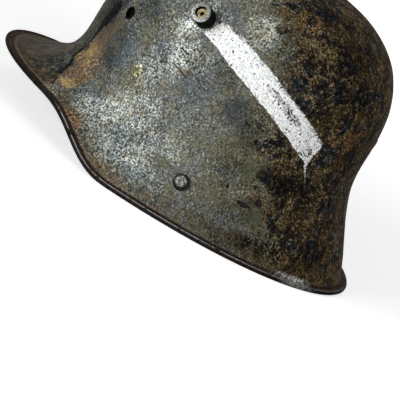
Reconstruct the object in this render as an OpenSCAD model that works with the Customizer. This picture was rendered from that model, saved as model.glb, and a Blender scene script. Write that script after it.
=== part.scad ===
// Steel helmet of the 1916 pattern: a pressed shell with two ventilator lugs, chinstrap rivets
// and posts, and a steel liner band that carries three leather pads and their cushions.
// Millimetres. +Z is up, the visor faces -Y and the wearer's left side is +X.
// The skirt stands on the plane Z = 0 and the origin lies under the middle of the shell.

/* [Bowl] */
// Height of the crown above the edge of the skirt
crown_h = 174.5; // [168:0.5:182]
// Reach of the bowl from the crown line to the forehead
bowl_front = 108.4; // [106:0.2:112]
// Half width of the bowl at the temples
bowl_side = 97.1; // [95:0.1:100]
// Reach of the bowl from the crown line to the back of the head
bowl_rear = 105.2; // [103:0.2:109]
// Height of the widest part of the bowl at the forehead
seat_front_z = 74.6; // [71:0.2:80]
// Height of the widest part of the bowl at the temples
seat_side_z = 92.2; // [89:0.2:94]
// Height of the widest part of the bowl at the back
seat_rear_z = 88.1; // [85:0.2:92]
// Fullness of the crown, where 2 is an ellipse and more is boxier
crown_fullness = 2.73; // [2.4:0.01:2.9]
// Squareness of the bowl seen from above, where 2 is an ellipse
bowl_squareness = 2.07; // [2:0.01:2.2]
// Thickness of the pressed steel sheet
sheet_t = 1.2; // [1:0.05:1.5]

/* [Visor and skirt] */
// Reach of the visor from the crown line to its tip
rim_front = 155.2; // [150:0.2:160]
// Half width of the skirt at the ears
rim_side = 114.1; // [112:0.1:118]
// Reach of the neck guard from the crown line
rim_rear = 143; // [138:0.2:148]
// Squareness of the visor seen from above
visor_squareness = 2.07; // [2:0.01:2.3]
// Squareness of the neck guard seen from above
neck_squareness = 2.12; // [2:0.01:2.3]
// Height of the visor tip above the edge of the skirt
visor_h = 29.4; // [26:0.1:33]
// Drop of the visor edge from its tip to the step
visor_droop = 6.55; // [3:0.05:9]
// Angle round the helmet at which the visor steps down to the skirt
step_angle = 51.5; // [48:0.5:56]
// Angle over which the step runs
step_span = 34.4; // [30:0.2:40]
// Slope of the visor above its edge
visor_slope = 12; // [8:0.5:16]
// Slope of the skirt above its edge at the ears
ear_slope = 74.3; // [70:0.1:78]
// Slope of the neck guard above its edge
neck_slope = 68; // [62:0.5:74]
// Length of the straight pull below the bowl at the forehead
upper_pull_front = 21; // [16:0.5:27]
// Length of the straight pull below the bowl at the ears
upper_pull_side = 35.6; // [30:0.2:40]
// Length of the straight pull below the bowl at the neck
upper_pull_rear = 38; // [32:0.5:42]
// Length of the straight pull above the edge of the visor
lower_pull_front = 36; // [31:0.5:41]
// Length of the straight pull above the edge at the ears
lower_pull_side = 35.9; // [30:0.1:39]
// Length of the straight pull above the edge at the neck
lower_pull_rear = 33.4; // [28:0.2:38]
// Slope of the turned out lip at the visor
visor_lip_slope = 0.5; // [0:0.5:6]
// Slope of the turned out lip at the ears and neck
skirt_lip_slope = 15; // [8:1:30]
// Half the width of the turned out lip
lip_w = 4; // [2:0.1:5]
// Diameter of the rolled hem
hem_d = 3; // [2.6:0.1:4]

/* [Ventilator lugs] */
// Angle of the lugs round the helmet, from the visor
lug_angle = 62.5; // [58:0.5:68]
// Height of the lugs above the edge of the skirt
lug_z = 125.2; // [119:0.2:129]
// Diameter of the lug barrel
lug_d = 14; // [12:0.2:18]
// Length of the lug barrel outside the shell
lug_len = 14.2; // [8:0.2:18]
// Bevel at the outer end of the lug
lug_bevel = 0.9; // [0.3:0.1:1.2]
// Diameter of the wide mouth of the lug's bore
lug_mouth_d = 7.8; // [7:0.1:9]
// Depth of the wide mouth
lug_mouth_len = 3.5; // [2:0.1:6]
// Diameter of the air bore behind the mouth
lug_bore_d = 2.6; // [2.2:0.1:5]
// Diameter of the lug where it passes through the shell
lug_neck_d = 10.4; // [9.8:0.1:11]
// Diameter of the flange peened over inside the shell
lug_flange_d = 13; // [12:0.1:14]
// Thickness of the peened flange
lug_flange_t = 0.9; // [0.6:0.1:1]

/* [Chinstrap fittings] */
// Angle of the chinstrap rivets round the helmet, from the visor
post_angle = 88; // [85:0.5:93]
// Height of the chinstrap rivets above the edge of the skirt
post_z = 27.4; // [25:0.2:33]
// Diameter of the domed rivet head
rivet_head_d = 11.4; // [9:0.1:13]
// Height of the domed rivet head
rivet_head_h = 2.6; // [1.5:0.1:3.4]
// Diameter of the rivet shank
rivet_shank_d = 5; // [4:0.1:6]
// Diameter of the post's foot against the shell
post_foot_d = 17; // [14:0.5:18]
// Thickness of the post's foot
post_foot_t = 1.5; // [1:0.1:2]
// Diameter of the neck that the strap end hooks on
post_neck_d = 9; // [8:0.1:10]
// Length of the neck that the strap end hooks on
post_neck_len = 6; // [4:0.5:8]
// Diameter of the post's cap
post_cap_d = 13; // [11.5:0.1:14]
// Thickness of the post's cap
post_cap_t = 1.8; // [1.2:0.1:2.4]

/* [Liner pins] */
// Angle of the two front liner pins, from the visor
pin_angle = 33; // [30:0.5:35]
// Height of the liner pins above the edge of the skirt
pin_z = 98.1; // [96.2:0.1:100]
// Diameter of the pin holes in the shell and the band
pin_hole_d = 7; // [5:0.1:8]
// Diameter of the pin head
pin_head_d = 10.6; // [9.6:0.1:12]
// Height of the pin head
pin_head_h = 1.2; // [1:0.1:2]
// Length of each pin leg that is bent flat on the band
pin_leg_len = 8.4; // [6:0.1:9]
// Width of a bent pin leg
pin_leg_w = 4; // [3:0.1:5]
// Thickness of a bent pin leg
pin_leg_t = 0.9; // [0.6:0.05:1]

/* [Liner] */
// Height of the steel liner band
band_h = 20; // [19:0.5:22]
// Thickness of the steel liner band
band_t = 0.9; // [0.7:0.05:1.2]
// Room between the shell and the band
band_gap = 2.5; // [2.2:0.1:3]
// Thickness of the pad leather
leather_t = 1.8; // [1.4:0.1:2.2]
// Angle that each pad takes up round the band
pad_span = 92; // [86:1:96]
// Angle left open between the two tongues of a pad
slit_angle = 3.2; // [2.8:0.1:5]
// Height of the fold line above the top of the band
fold_rise = 4; // [3.5:0.5:6]
// Room between the crown and the dome that the tongues lie on
crown_room = 12.7; // [10:0.1:16]
// Fullness of that dome, where 1 is a cone and 2 is an ellipse
pad_fullness = 1.7; // [1.5:0.05:1.9]
// Angle up the dome at which the tongues end
tongue_reach = 58; // [54:1:60]
// Width of a tongue near its tip
tongue_tip_w = 24; // [18:1:26]
// Diameter of the lace hole in each tongue
lace_hole_d = 4; // [3:0.5:6]
// Diameter of the pad rivet heads
pad_rivet_d = 6.4; // [5:0.2:8]
// Height of the pad rivet heads
pad_rivet_h = 1.2; // [0.8:0.1:1.6]
// Diameter of the pad rivet shanks
pad_shank_d = 2.4; // [2:0.1:3]

/* [Cushions] */
// Angle that each cushion takes up behind its pad
cushion_span = 74; // [66:1:80]
// Room between the top of the cushions and the top of the tongues' dome
cushion_room = 14; // [12:0.5:18]
// Greatest thickness of a cushion
cushion_t = 12; // [8:0.5:14]

/* [Hidden] */

// Stations and rows of the shell's mesh
segments = 72;
dome_rows = 12;
skirt_rows = 10;
lip_rows = 4;
hem_rows = 8;
// Stations round the band, and rows and columns of the tongues and cushions
band_stations = 120;
tongue_rows = 10;
tongue_cols = 8;
cushion_rows = 10;
cushion_cols = 20;
round_fn = 64;

// Clearances: a seated face, a shank in its hole, a soft face beside a moving one
seat_gap = 0.2;
shank_gap = 0.1;
pin_gap = 0.3;
soft_gap = 0.5;
leg_gap = 0.2;
// Small step for slopes found by difference
tiny = 0.05;
// Reach of a drill through the sheet
drill = 8;

hem_r = hem_d / 2;
// The crown line stands this far from the middle of the shell
crown_y = (rim_front - rim_rear) / 2;
band_low_z = pin_z - band_h / 2;
band_top_z = pin_z + band_h / 2;
fold_z = band_top_z + fold_rise;
// Depths inside the shell's inner face: band, pin legs and leather follow one another
band_in = band_gap + band_t;
leather_out = band_in + pin_leg_t + leg_gap + seat_gap;
leather_mid = leather_out + leather_t / 2;
leather_in = leather_out + leather_t;
// Play at the fold line, and the distance of the fold's axis from the leather
fold_play = 0.5;
fold_reach = leather_t / 2 + 1;
// Height of the dome that the tongues lie on, above the fold line
pad_dome_h = crown_h - sheet_t - crown_room - fold_z - fold_play;
cushion_h = pad_dome_h - cushion_room;
// Edge of the leather below the band
leather_drop = 1;
// Centres of the three pads, from the visor
pad_left = 60;
pad_right = -60;
pad_back = 180;
tongue_half = (pad_span - slit_angle) / 4;
tongue_offset = (pad_span + slit_angle) / 4;
// Each tongue's root has two rivets below it, this far to each side of its middle
rivet_apart = 0.58 * tongue_half;
rivet_offsets = [for (root = [-1, 1], side = [-1, 1]) root * tongue_offset + side * rivet_apart];
// Where a tongue starts to round off, and where its lace hole lies, up the tongue
tongue_round = 0.8;
lace_at = 0.87;
// The cushions clear the lug flanges inside the shell
cushion_back = lug_flange_t + 0.8;
cushion_fill = 0.94;

steel_paint = [0.27, 0.25, 0.21];
bare_steel = [0.42, 0.40, 0.37];
dark_steel = [0.16, 0.15, 0.14];
pad_leather = [0.46, 0.31, 0.19];
linen = [0.66, 0.60, 0.47];

// Angles run round the helmet from the visor (0) over the wearer's left ear (90) to the neck (180)
function off_front(phi) = let (a = abs(phi) % 360) a > 180 ? 360 - a : a;
function share(phi, front, side, rear) =
    side + ((cos(phi) >= 0 ? front : rear) - side) * pow(cos(phi), 2);
function oval(phi, front, side, rear, front_power, rear_power) =
    let (
        ahead = cos(phi) >= 0,
        power = ahead ? front_power : rear_power,
        lengthwise = pow(abs(cos(phi)) / (ahead ? front : rear), power),
        sideways = pow(abs(sin(phi)) / side, power)
    )
    pow(lengthwise + sideways, -1 / power);
function at(phi, r, z) = [r * sin(phi), crown_y - r * cos(phi), z];
function unit(v) = v / norm(v);
function side_of(a, b, way) = (a - b) * way;

// Shell: a superellipse crown, a drawn skirt, a turned out lip and a round hem
function bowl_r(phi) = oval(phi, bowl_front, bowl_side, bowl_rear, bowl_squareness, bowl_squareness);
function seat_z(phi) = share(phi, seat_front_z, seat_side_z, seat_rear_z);
function rim_r(phi) = oval(phi, rim_front, rim_side, rim_rear, visor_squareness, neck_squareness);
function rim_z(phi) =
    let (
        a = off_front(phi),
        t = min(1, max(0, 0.5 + (a - step_angle) / step_span)),
        stepped = pow(t, 3) * (10 + t * (6 * t - 15)),
        visor_z = visor_h - visor_droop * pow(a / step_angle, 2)
    )
    visor_z * (1 - stepped);
function down(slope) = [cos(slope), -sin(slope)];
function out(slope) = [sin(slope), cos(slope)];
function main_slope(phi) = share(phi, visor_slope, ear_slope, neck_slope);
function lip_slope(phi) = share(phi, visor_lip_slope, skirt_lip_slope, skirt_lip_slope);
function hem_centre(phi) = [rim_r(phi) - hem_r, rim_z(phi) + hem_r];
function hem_start() = 180 - asin(sheet_t / hem_d);
function hem_point(phi, turn) =
    hem_centre(phi) + hem_r * (cos(turn) * down(lip_slope(phi)) + sin(turn) * out(lip_slope(phi)));
function lip_corner(phi) = hem_point(phi, hem_start()) - lip_w * down(lip_slope(phi));
function lip_top(phi) = lip_corner(phi) - lip_w * down(main_slope(phi));
function dome_point(phi, u) =
    [
        bowl_r(phi) * pow(sin(u), 2 / crown_fullness),
        seat_z(phi) + (crown_h - seat_z(phi)) * pow(cos(u), 2 / crown_fullness)
    ];
function skirt_point(phi, t) =
    let (
        top = [bowl_r(phi), seat_z(phi)],
        upper = top - [0, share(phi, upper_pull_front, upper_pull_side, upper_pull_rear)],
        low = lip_top(phi),
        pull = share(phi, lower_pull_front, lower_pull_side, lower_pull_rear),
        lower = low - pull * down(main_slope(phi)),
        s = 1 - t
    )
    s * s * s * top + 3 * s * s * t * upper + 3 * s * t * t * lower + t * t * t * low;
function lip_point(phi, t) =
    let (s = 1 - t)
    s * s * lip_top(phi) + 2 * s * t * lip_corner(phi) + t * t * hem_point(phi, hem_start());
function outer_rows(phi) =
    concat(
        [for (k = [1:dome_rows]) dome_point(phi, 90 * k / dome_rows)],
        [for (k = [1:skirt_rows]) skirt_point(phi, k / skirt_rows)],
        [for (k = [1:lip_rows]) lip_point(phi, k / lip_rows)]
    );
function inner_rows(phi, rows) =
    let (last = len(rows) - 1)
    [
        for (k = [last:-1:0])
            let (
                before = k == 0 ? [0, crown_h] : rows[k - 1],
                along = k == last ? down(lip_slope(phi)) : unit(rows[k + 1] - before)
            )
            rows[k] + sheet_t * [along[1], -along[0]]
    ];
function section(phi) =
    let (rows = outer_rows(phi), start = hem_start())
    concat(
        rows,
        [for (k = [1:hem_rows - 1]) hem_point(phi, start - 2 * start * k / hem_rows)],
        inner_rows(phi, rows)
    );

// Points and directions on the shell's outer face, by angle and height
function dome_r(phi, z) =
    let (rise = (z - seat_z(phi)) / (crown_h - seat_z(phi)))
    bowl_r(phi) * pow(1 - pow(rise, crown_fullness), 1 / crown_fullness);
function skirt_t(phi, z, low = 0, high = 1, turns = 26) =
    let (mid = (low + high) / 2)
    turns == 0 ? mid
        : skirt_point(phi, mid)[1] > z ? skirt_t(phi, z, mid, high, turns - 1)
        : skirt_t(phi, z, low, mid, turns - 1);
function skin_r(phi, z) =
    z >= seat_z(phi) ? dome_r(phi, z) : skirt_point(phi, skirt_t(phi, z))[0];
function skin(phi, z) = at(phi, skin_r(phi, z), z);
function skin_out(phi, z) =
    unit(cross(skin(phi + tiny, z) - skin(phi - tiny, z), skin(phi, z + tiny) - skin(phi, z - tiny)));
function level_out(phi, z) = let (n = skin_out(phi, z)) unit([n[0], n[1], 0]);
// Skin points on a ring of radius r round a fitting, and how far they fall or rise along its axis
function ring_round(phi, z, r) =
    [
        for (a = [0:30:330])
            skin(phi + r * cos(a) / skin_r(phi, z) * 180 / PI, z + r * sin(a))
    ];
function fall(phi, z, r, way) =
    max(0, max([for (p = ring_round(phi, z, r)) side_of(skin(phi, z), p, way)]));
function rise(phi, z, r, way) =
    max(0, max([for (p = ring_round(phi, z, r)) side_of(p, skin(phi, z), way)]));

// Liner: band, leather and the dome that the tongues lie on
function liner_r(phi, depth) = dome_r(phi, pin_z) - sheet_t - depth;
function liner_out(phi) =
    let (
        a = at(phi - tiny, liner_r(phi - tiny, band_in), pin_z),
        b = at(phi + tiny, liner_r(phi + tiny, band_in), pin_z)
    )
    unit(cross(b - a, [0, 0, 1]));
function pad_r(phi, up) = liner_r(phi, leather_mid) * pow(cos(up), 2 / pad_fullness);
function pad_z(up) = fold_z + fold_play + pad_dome_h * pow(sin(up), 2 / pad_fullness);
function pad_up(z) = asin(pow((z - fold_z - fold_play) / pad_dome_h, pad_fullness / 2));
function pad_point(phi, up) = at(phi, pad_r(phi, up), pad_z(up));
function pad_out(phi, up) =
    let (u = max(up, 1))
    unit(cross(
        pad_point(phi + tiny, u) - pad_point(phi - tiny, u),
        pad_point(phi, u + tiny) - pad_point(phi, u - tiny)
    ));
function rounded(v) = v < tongue_round ? 1 : sqrt(max(0.08, 1 - pow((v - tongue_round) / (1 - tongue_round), 2)));
function tongue_angle(phi, v) =
    let (
        root = tongue_half * PI / 180 * pad_r(phi, 0),
        wide = (root * (1 - v) + tongue_tip_w / 2 * v) * rounded(v)
    )
    wide / pad_r(phi, v * tongue_reach) * 180 / PI;
function tongue_point(phi, v, w, away) =
    let (p = phi + w * tongue_angle(phi, v), up = v * tongue_reach)
    pad_point(p, up) + away * pad_out(p, up);
function fold_ends(phi) =
    [for (w = [-1, 1]) at(phi + w * tongue_half, pad_r(phi + w * tongue_half, 0), fold_z)];
function fold_way(phi) = let (e = fold_ends(phi)) unit(e[0] - e[1]);
function fold_place(phi) =
    let (e = fold_ends(phi), inward = cross(fold_way(phi), [0, 0, 1]))
    (e[0] + e[1]) / 2 + fold_reach * inward;

// A closed grid: columns of rows, in a ring round a tube or folded over as two skins
function strip(columns, rows, closed) =
    [
        for (i = [0:closed ? columns - 1 : columns - 2], j = [0:rows - 2], half = [0, 1])
            let (
                a = i * rows + j,
                b = ((i + 1) % columns) * rows + j
            )
            half == 0 ? [a, b, b + 1] : [a, b + 1, a + 1]
    ];

module aimed(place, way) {
    translate(place)
        rotate([0, acos(way[2]), atan2(way[1], way[0])])
            children();
}

module turned(profile) {
    rotate_extrude($fn = round_fn)
        polygon(profile);
}

module shell_blank() {
    rows = 2 * (dome_rows + skirt_rows + lip_rows) + hem_rows - 1;
    points = concat(
        [for (i = [0:segments - 1], p = section(360 * i / segments)) at(360 * i / segments, p[0], p[1])],
        [[0, crown_y, crown_h], [0, crown_y, crown_h - sheet_t]]
    );
    top = segments * rows;
    caps = [
        for (i = [0:segments - 1], half = [0, 1])
            let (a = i * rows, b = ((i + 1) % segments) * rows)
            half == 0 ? [top, b, a] : [top + 1, a + rows - 1, b + rows - 1]
    ];
    polyhedron(points, concat(strip(segments, rows, true), caps));
}

module shell() {
    color(steel_paint)
        difference() {
            shell_blank();
            for (side = [1, -1]) {
                aimed(skin(side * lug_angle, lug_z), skin_out(side * lug_angle, lug_z))
                    cylinder(h = drill, d = lug_neck_d + 2 * shank_gap, center = true, $fn = round_fn);
                aimed(skin(side * post_angle, post_z), skin_out(side * post_angle, post_z))
                    cylinder(h = drill, d = rivet_shank_d + 2 * shank_gap, center = true, $fn = round_fn);
            }
            for (phi = [pin_angle, -pin_angle, 180])
                aimed(skin(phi, pin_z), level_out(phi, pin_z))
                    cylinder(h = drill, d = pin_hole_d, center = true, $fn = round_fn);
        }
}

module ventilator_lug(phi) {
    way = skin_out(phi, lug_z);
    base = rise(phi, lug_z, lug_d / 2, way) + seat_gap;
    inside = -sheet_t - fall(phi, lug_z, lug_flange_d / 2, way) - seat_gap;
    color(dark_steel)
        aimed(skin(phi, lug_z), way)
            turned([
                [lug_bore_d / 2, inside - lug_flange_t],
                [lug_flange_d / 2 - lug_flange_t / 2, inside - lug_flange_t],
                [lug_flange_d / 2, inside - lug_flange_t / 2],
                [lug_flange_d / 2, inside],
                [lug_neck_d / 2, inside],
                [lug_neck_d / 2, base],
                [lug_d / 2, base],
                [lug_d / 2, lug_len - lug_bevel],
                [lug_d / 2 - lug_bevel, lug_len],
                [lug_mouth_d / 2, lug_len],
                [lug_mouth_d / 2, lug_len - lug_mouth_len],
                [lug_bore_d / 2, lug_len - lug_mouth_len]
            ]);
}

module chinstrap_rivet(phi) {
    way = skin_out(phi, post_z);
    base = rise(phi, post_z, rivet_head_d / 2, way) + seat_gap;
    foot = -sheet_t - fall(phi, post_z, post_foot_d / 2, way) - seat_gap;
    tail = foot - post_foot_t - post_neck_len - post_cap_t - seat_gap;
    peen_t = 0.9;
    peen_r = rivet_shank_d / 2 + 1;
    color(dark_steel)
        aimed(skin(phi, post_z), way)
            turned(concat(
                [
                    [0, tail - peen_t],
                    [peen_r - peen_t / 2, tail - peen_t],
                    [peen_r, tail - peen_t / 2],
                    [peen_r, tail],
                    [rivet_shank_d / 2, tail],
                    [rivet_shank_d / 2, base]
                ],
                [for (a = [0:15:90]) [rivet_head_d / 2 * cos(a), base + rivet_head_h * sin(a)]]
            ));
}

module chinstrap_post(phi) {
    way = skin_out(phi, post_z);
    foot = -sheet_t - fall(phi, post_z, post_foot_d / 2, way) - seat_gap;
    neck = foot - post_foot_t;
    cap = neck - post_neck_len;
    bore = rivet_shank_d / 2 + shank_gap;
    soft_edge = post_cap_t / 3;
    color(bare_steel)
        aimed(skin(phi, post_z), way)
            turned([
                [bore, cap - post_cap_t],
                [post_cap_d / 2 - soft_edge, cap - post_cap_t],
                [post_cap_d / 2, cap - post_cap_t + soft_edge],
                [post_cap_d / 2, cap],
                [post_neck_d / 2, cap],
                [post_neck_d / 2, neck],
                [post_foot_d / 2, neck],
                [post_foot_d / 2, foot],
                [bore, foot]
            ]);
}

module split_pin(phi) {
    way = level_out(phi, pin_z);
    base = rise(phi, pin_z, pin_head_d / 2, way) + seat_gap;
    depth = sheet_t + band_in + leg_gap;
    shank_r = pin_hole_d / 2 - pin_gap;
    slot = 0.5;
    color(dark_steel)
        aimed(skin(phi, pin_z), way) {
            turned(concat(
                [[0, base - slot], [shank_r, base - slot], [shank_r, base]],
                [for (a = [0:18:90]) [pin_head_d / 2 * cos(a), base + pin_head_h * sin(a)]]
            ));
            for (side = [1, -1])
                split_leg(side, shank_r, slot, depth, base);
        }
}

module split_leg(side, shank_r, slot, depth, base) {
    far = side * slot / 2;
    intersection() {
        translate([0, 0, -depth - pin_leg_t])
            cylinder(h = depth + pin_leg_t + base - slot / 2, r = shank_r, $fn = round_fn);
        translate([side > 0 ? far : -shank_r, -pin_leg_w / 2, -2 * depth])
            cube([shank_r - slot / 2, pin_leg_w, 3 * depth]);
    }
    translate([side > 0 ? far : -pin_leg_len, -pin_leg_w / 2, -depth - pin_leg_t])
        cube([pin_leg_len - slot / 2, pin_leg_w, pin_leg_t]);
}

// A wall that follows the liner between two angles and two depths
module liner_wall(from, to, outer_depth, inner_depth, low, high) {
    count = max(2, ceil((to - from) * band_stations / 360));
    angles = [for (k = [0:count]) from + (to - from) * k / count];
    ring = to - from >= 360;
    translate([0, 0, low])
        linear_extrude(high - low)
            if (ring)
                difference() {
                    polygon([for (a = angles) let (p = at(a, liner_r(a, outer_depth), 0)) [p[0], p[1]]]);
                    polygon([for (a = angles) let (p = at(a, liner_r(a, inner_depth), 0)) [p[0], p[1]]]);
                }
            else
                polygon(concat(
                    [for (a = angles) let (p = at(a, liner_r(a, outer_depth), 0)) [p[0], p[1]]],
                    [for (k = [count:-1:0]) let (a = angles[k], p = at(a, liner_r(a, inner_depth), 0)) [p[0], p[1]]]
                ));
}

// A place on the back of the leather for each rivet of a pad, with +Z outwards
module at_rivets(pad) {
    for (offset = rivet_offsets)
        let (phi = pad + offset)
            aimed(at(phi, liner_r(phi, leather_out), pin_z), liner_out(phi))
                children();
}

module rivet_drills(pad) {
    at_rivets(pad)
        cylinder(h = drill, d = pad_shank_d + 2 * shank_gap, center = true, $fn = round_fn);
}

module liner_band() {
    color(dark_steel)
        difference() {
            liner_wall(0, 360, band_gap, band_in, band_low_z, band_top_z);
            for (pad = [pad_left, pad_right, pad_back])
                rivet_drills(pad);
            for (phi = [pin_angle, -pin_angle, 180])
                aimed(skin(phi, pin_z) - (sheet_t + band_gap) * level_out(phi, pin_z), level_out(phi, pin_z))
                    cylinder(h = drill, d = pin_hole_d, center = true, $fn = round_fn);
        }
}

module pad(centre) {
    color(pad_leather)
        difference() {
            liner_wall(
                centre - pad_span / 2, centre + pad_span / 2, leather_out, leather_in,
                band_low_z - leather_drop, fold_z - fold_play
            );
            rivet_drills(centre);
        }
}

module pad_rivets(pad) {
    washer_t = 0.8;
    washer_r = pad_rivet_d / 2 - 0.3;
    head = -leather_t - seat_gap;
    grip = leather_out - band_gap + seat_gap;
    color(bare_steel)
        at_rivets(pad)
            turned(concat(
                [for (a = [90:-18:0]) [pad_rivet_d / 2 * cos(a), head - pad_rivet_h * sin(a)]],
                [
                    [pad_shank_d / 2, head],
                    [pad_shank_d / 2, grip],
                    [washer_r, grip],
                    [washer_r, grip + washer_t],
                    [0, grip + washer_t]
                ]
            ));
}

module tongue(phi) {
    rows = 2 * (tongue_rows + 1);
    points = [
        for (i = [0:tongue_cols], k = [0:rows - 1])
            let (
                outer = k <= tongue_rows,
                v = (outer ? k : rows - 1 - k) / tongue_rows,
                w = 2 * i / tongue_cols - 1
            )
            tongue_point(phi, v, w, (outer ? 0.5 : -0.5) * leather_t)
    ];
    up = lace_at * tongue_reach;
    color(pad_leather)
        difference() {
            folded_skin(points, tongue_cols + 1, rows);
            aimed(pad_point(phi, up), pad_out(phi, up))
                cylinder(h = drill, d = lace_hole_d, center = true, $fn = round_fn);
        }
}

// Columns that each run up one skin and back down the other, closed at both sides
module folded_skin(points, columns, rows) {
    sides = [
        for (j = [0:rows / 2 - 2], half = [0, 1])
            let (a = j, b = rows - 1 - j)
            half == 0 ? [a, a + 1, b - 1] : [a, b - 1, b]
    ];
    last = (columns - 1) * rows;
    roots = [
        for (i = [0:columns - 2], half = [0, 1])
            let (a = i * rows, b = (i + 1) * rows)
            half == 0 ? [a, b + rows - 1, b] : [a, a + rows - 1, b + rows - 1]
    ];
    faces = concat(
        [for (f = strip(columns, rows, false)) [f[0], f[2], f[1]]],
        [for (f = sides) [f[0], f[2], f[1]]],
        [for (f = sides) [f[0] + last, f[1] + last, f[2] + last]],
        [for (f = roots) [f[0], f[2], f[1]]]
    );
    polyhedron(points, faces);
}

// Cushions: pillows that stand on the pads and lean on the backs of the tongues
function cushion_edge(v) = 1 - 0.05 * sin(180 * v);
function cushion_top(u) = 1 - 0.07 * (1 - u * u);
function cushion_point(centre, u, v, front) =
    let (
        phi = centre + u * cushion_span / 2 * cushion_edge(v),
        z = fold_z + fold_play + soft_gap + cushion_h * v * cushion_top(u),
        tilt = pad_out(phi, pad_up(z))[2],
        lean = sqrt(1 - tilt * tilt),
        near = pad_r(phi, pad_up(z)) + (leather_t / 2 + soft_gap) / lean,
        room = dome_r(phi, z) - (sheet_t + cushion_back) / skin_lean(phi, z) - near,
        swell = sqrt(max(0, 1 - pow(u, 4))) * pow(max(0, sin(180 * v)), 0.5),
        thick = min(cushion_fill * room, cushion_t / lean) * swell
    )
    at(phi, near + (front ? 0 : thick), z);
function skin_lean(phi, z) = let (n = skin_out(phi, z)) sqrt(1 - n[2] * n[2]);

module cushion(centre) {
    front_rows = [for (j = [0:cushion_rows]) j / cushion_rows];
    inside = [for (i = [1:cushion_cols - 1]) 2 * i / cushion_cols - 1];
    rows = 2 * cushion_rows;
    ring = [
        for (u = inside, k = [0:rows - 1])
            let (front = k >= cushion_rows, j = front ? rows - k : k)
            cushion_point(centre, u, front_rows[j], front)
    ];
    edge_low = [for (j = [0:cushion_rows]) cushion_point(centre, -1, front_rows[j], true)];
    edge_high = [for (j = [0:cushion_rows]) cushion_point(centre, 1, front_rows[j], true)];
    count = len(inside);
    low_at = count * rows;
    high_at = low_at + cushion_rows + 1;
    body = [
        for (i = [0:count - 2], k = [0:rows - 1], half = [0, 1])
            let (
                a = i * rows + k,
                b = i * rows + (k + 1) % rows,
                c = a + rows,
                d = b + rows
            )
            half == 0 ? [a, b, d] : [a, d, c]
    ];
    ends = [
        for (k = [0:rows - 1], side = [0, 1], half = [0, 1])
            let (
                next = (k + 1) % rows,
                j = k <= cushion_rows ? k : rows - k,
                jn = next <= cushion_rows ? next : rows - next,
                first = side == 0 ? 0 : (count - 1) * rows,
                at_edge = side == 0 ? low_at : high_at,
                f = half == 0 ? [first + k, at_edge + jn, first + next] : [first + k, at_edge + j, at_edge + jn]
            )
            side == 0 ? f : [f[0], f[2], f[1]]
    ];
    color(linen)
        polyhedron(concat(ring, edge_low, edge_high), concat(body, ends));
}

shell();
ventilator_lug(lug_angle);  // ventilator_lug_left
ventilator_lug(-lug_angle);  // ventilator_lug_right
chinstrap_rivet(post_angle);  // chinstrap_rivet_left
chinstrap_rivet(-post_angle);  // chinstrap_rivet_right
chinstrap_post(post_angle);  // chinstrap_post_left
chinstrap_post(-post_angle);  // chinstrap_post_right
split_pin(-pin_angle);  // split_pin_front_right
split_pin(180);  // split_pin_rear
liner_band();
pad(pad_left);  // pad_front_left
pad(pad_right);  // pad_front_right
pad(pad_back);  // pad_rear
pad_rivets(pad_left);  // pad_rivets_front_left
pad_rivets(pad_right);  // pad_rivets_front_right
pad_rivets(pad_back);  // pad_rivets_rear
tongue(pad_left - tongue_offset);  // tongue_front_left_a
tongue(pad_left + tongue_offset);  // tongue_front_left_b
tongue(pad_right + tongue_offset);  // tongue_front_right_a
tongue(pad_right - tongue_offset);  // tongue_front_right_b
tongue(pad_back - tongue_offset);  // tongue_rear_left
tongue(pad_back + tongue_offset);  // tongue_rear_right
cushion(pad_left);  // cushion_front_left
cushion(pad_right);  // cushion_front_right
cushion(pad_back);  // cushion_rear
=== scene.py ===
# %% [markdown]
# # Dressing a steel helmet
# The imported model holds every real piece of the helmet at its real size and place, but its
# pieces are plain and a little faceted. In this lesson each piece gets its finished form and
# its finish: pressed and painted steel, turned lugs, old leather and stuffed linen.
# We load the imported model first, because every new piece is fitted to it, and keep its box
# so that the finished helmet can be compared with it at the end.

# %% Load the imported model
import functools
import math
import operator

import bpy
import numpy as np
from mathutils import Matrix, Vector, noise


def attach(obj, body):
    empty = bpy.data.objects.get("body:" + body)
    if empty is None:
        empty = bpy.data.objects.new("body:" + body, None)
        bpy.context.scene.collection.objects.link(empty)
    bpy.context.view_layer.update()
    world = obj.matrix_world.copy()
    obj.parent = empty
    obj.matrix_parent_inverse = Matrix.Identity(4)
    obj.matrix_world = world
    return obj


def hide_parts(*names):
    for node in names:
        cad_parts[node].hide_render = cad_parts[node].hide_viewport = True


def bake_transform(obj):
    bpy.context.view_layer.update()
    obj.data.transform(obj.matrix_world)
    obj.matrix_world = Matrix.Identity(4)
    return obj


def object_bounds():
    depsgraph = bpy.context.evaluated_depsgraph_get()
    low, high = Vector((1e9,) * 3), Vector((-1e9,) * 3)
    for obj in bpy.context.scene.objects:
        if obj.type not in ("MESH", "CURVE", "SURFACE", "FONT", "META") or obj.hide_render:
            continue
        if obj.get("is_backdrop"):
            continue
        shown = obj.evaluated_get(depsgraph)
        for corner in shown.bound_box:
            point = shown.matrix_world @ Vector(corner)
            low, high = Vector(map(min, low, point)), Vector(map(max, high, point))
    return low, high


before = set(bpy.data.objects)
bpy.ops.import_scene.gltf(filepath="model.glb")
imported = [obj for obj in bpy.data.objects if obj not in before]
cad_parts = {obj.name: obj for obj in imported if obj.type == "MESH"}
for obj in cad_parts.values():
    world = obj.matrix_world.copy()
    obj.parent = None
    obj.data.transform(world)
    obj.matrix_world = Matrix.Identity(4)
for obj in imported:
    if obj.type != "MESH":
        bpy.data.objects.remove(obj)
packed_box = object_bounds()

# %% [markdown]
# ## The camera
# The helmet was photographed from the wearer's left, a little from the front and above,
# and it was tipped back. Here it stands level on its rim, so the camera leans over instead
# and sees the same picture. A long lens at 1.2 m keeps the picture's flat perspective.

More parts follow.
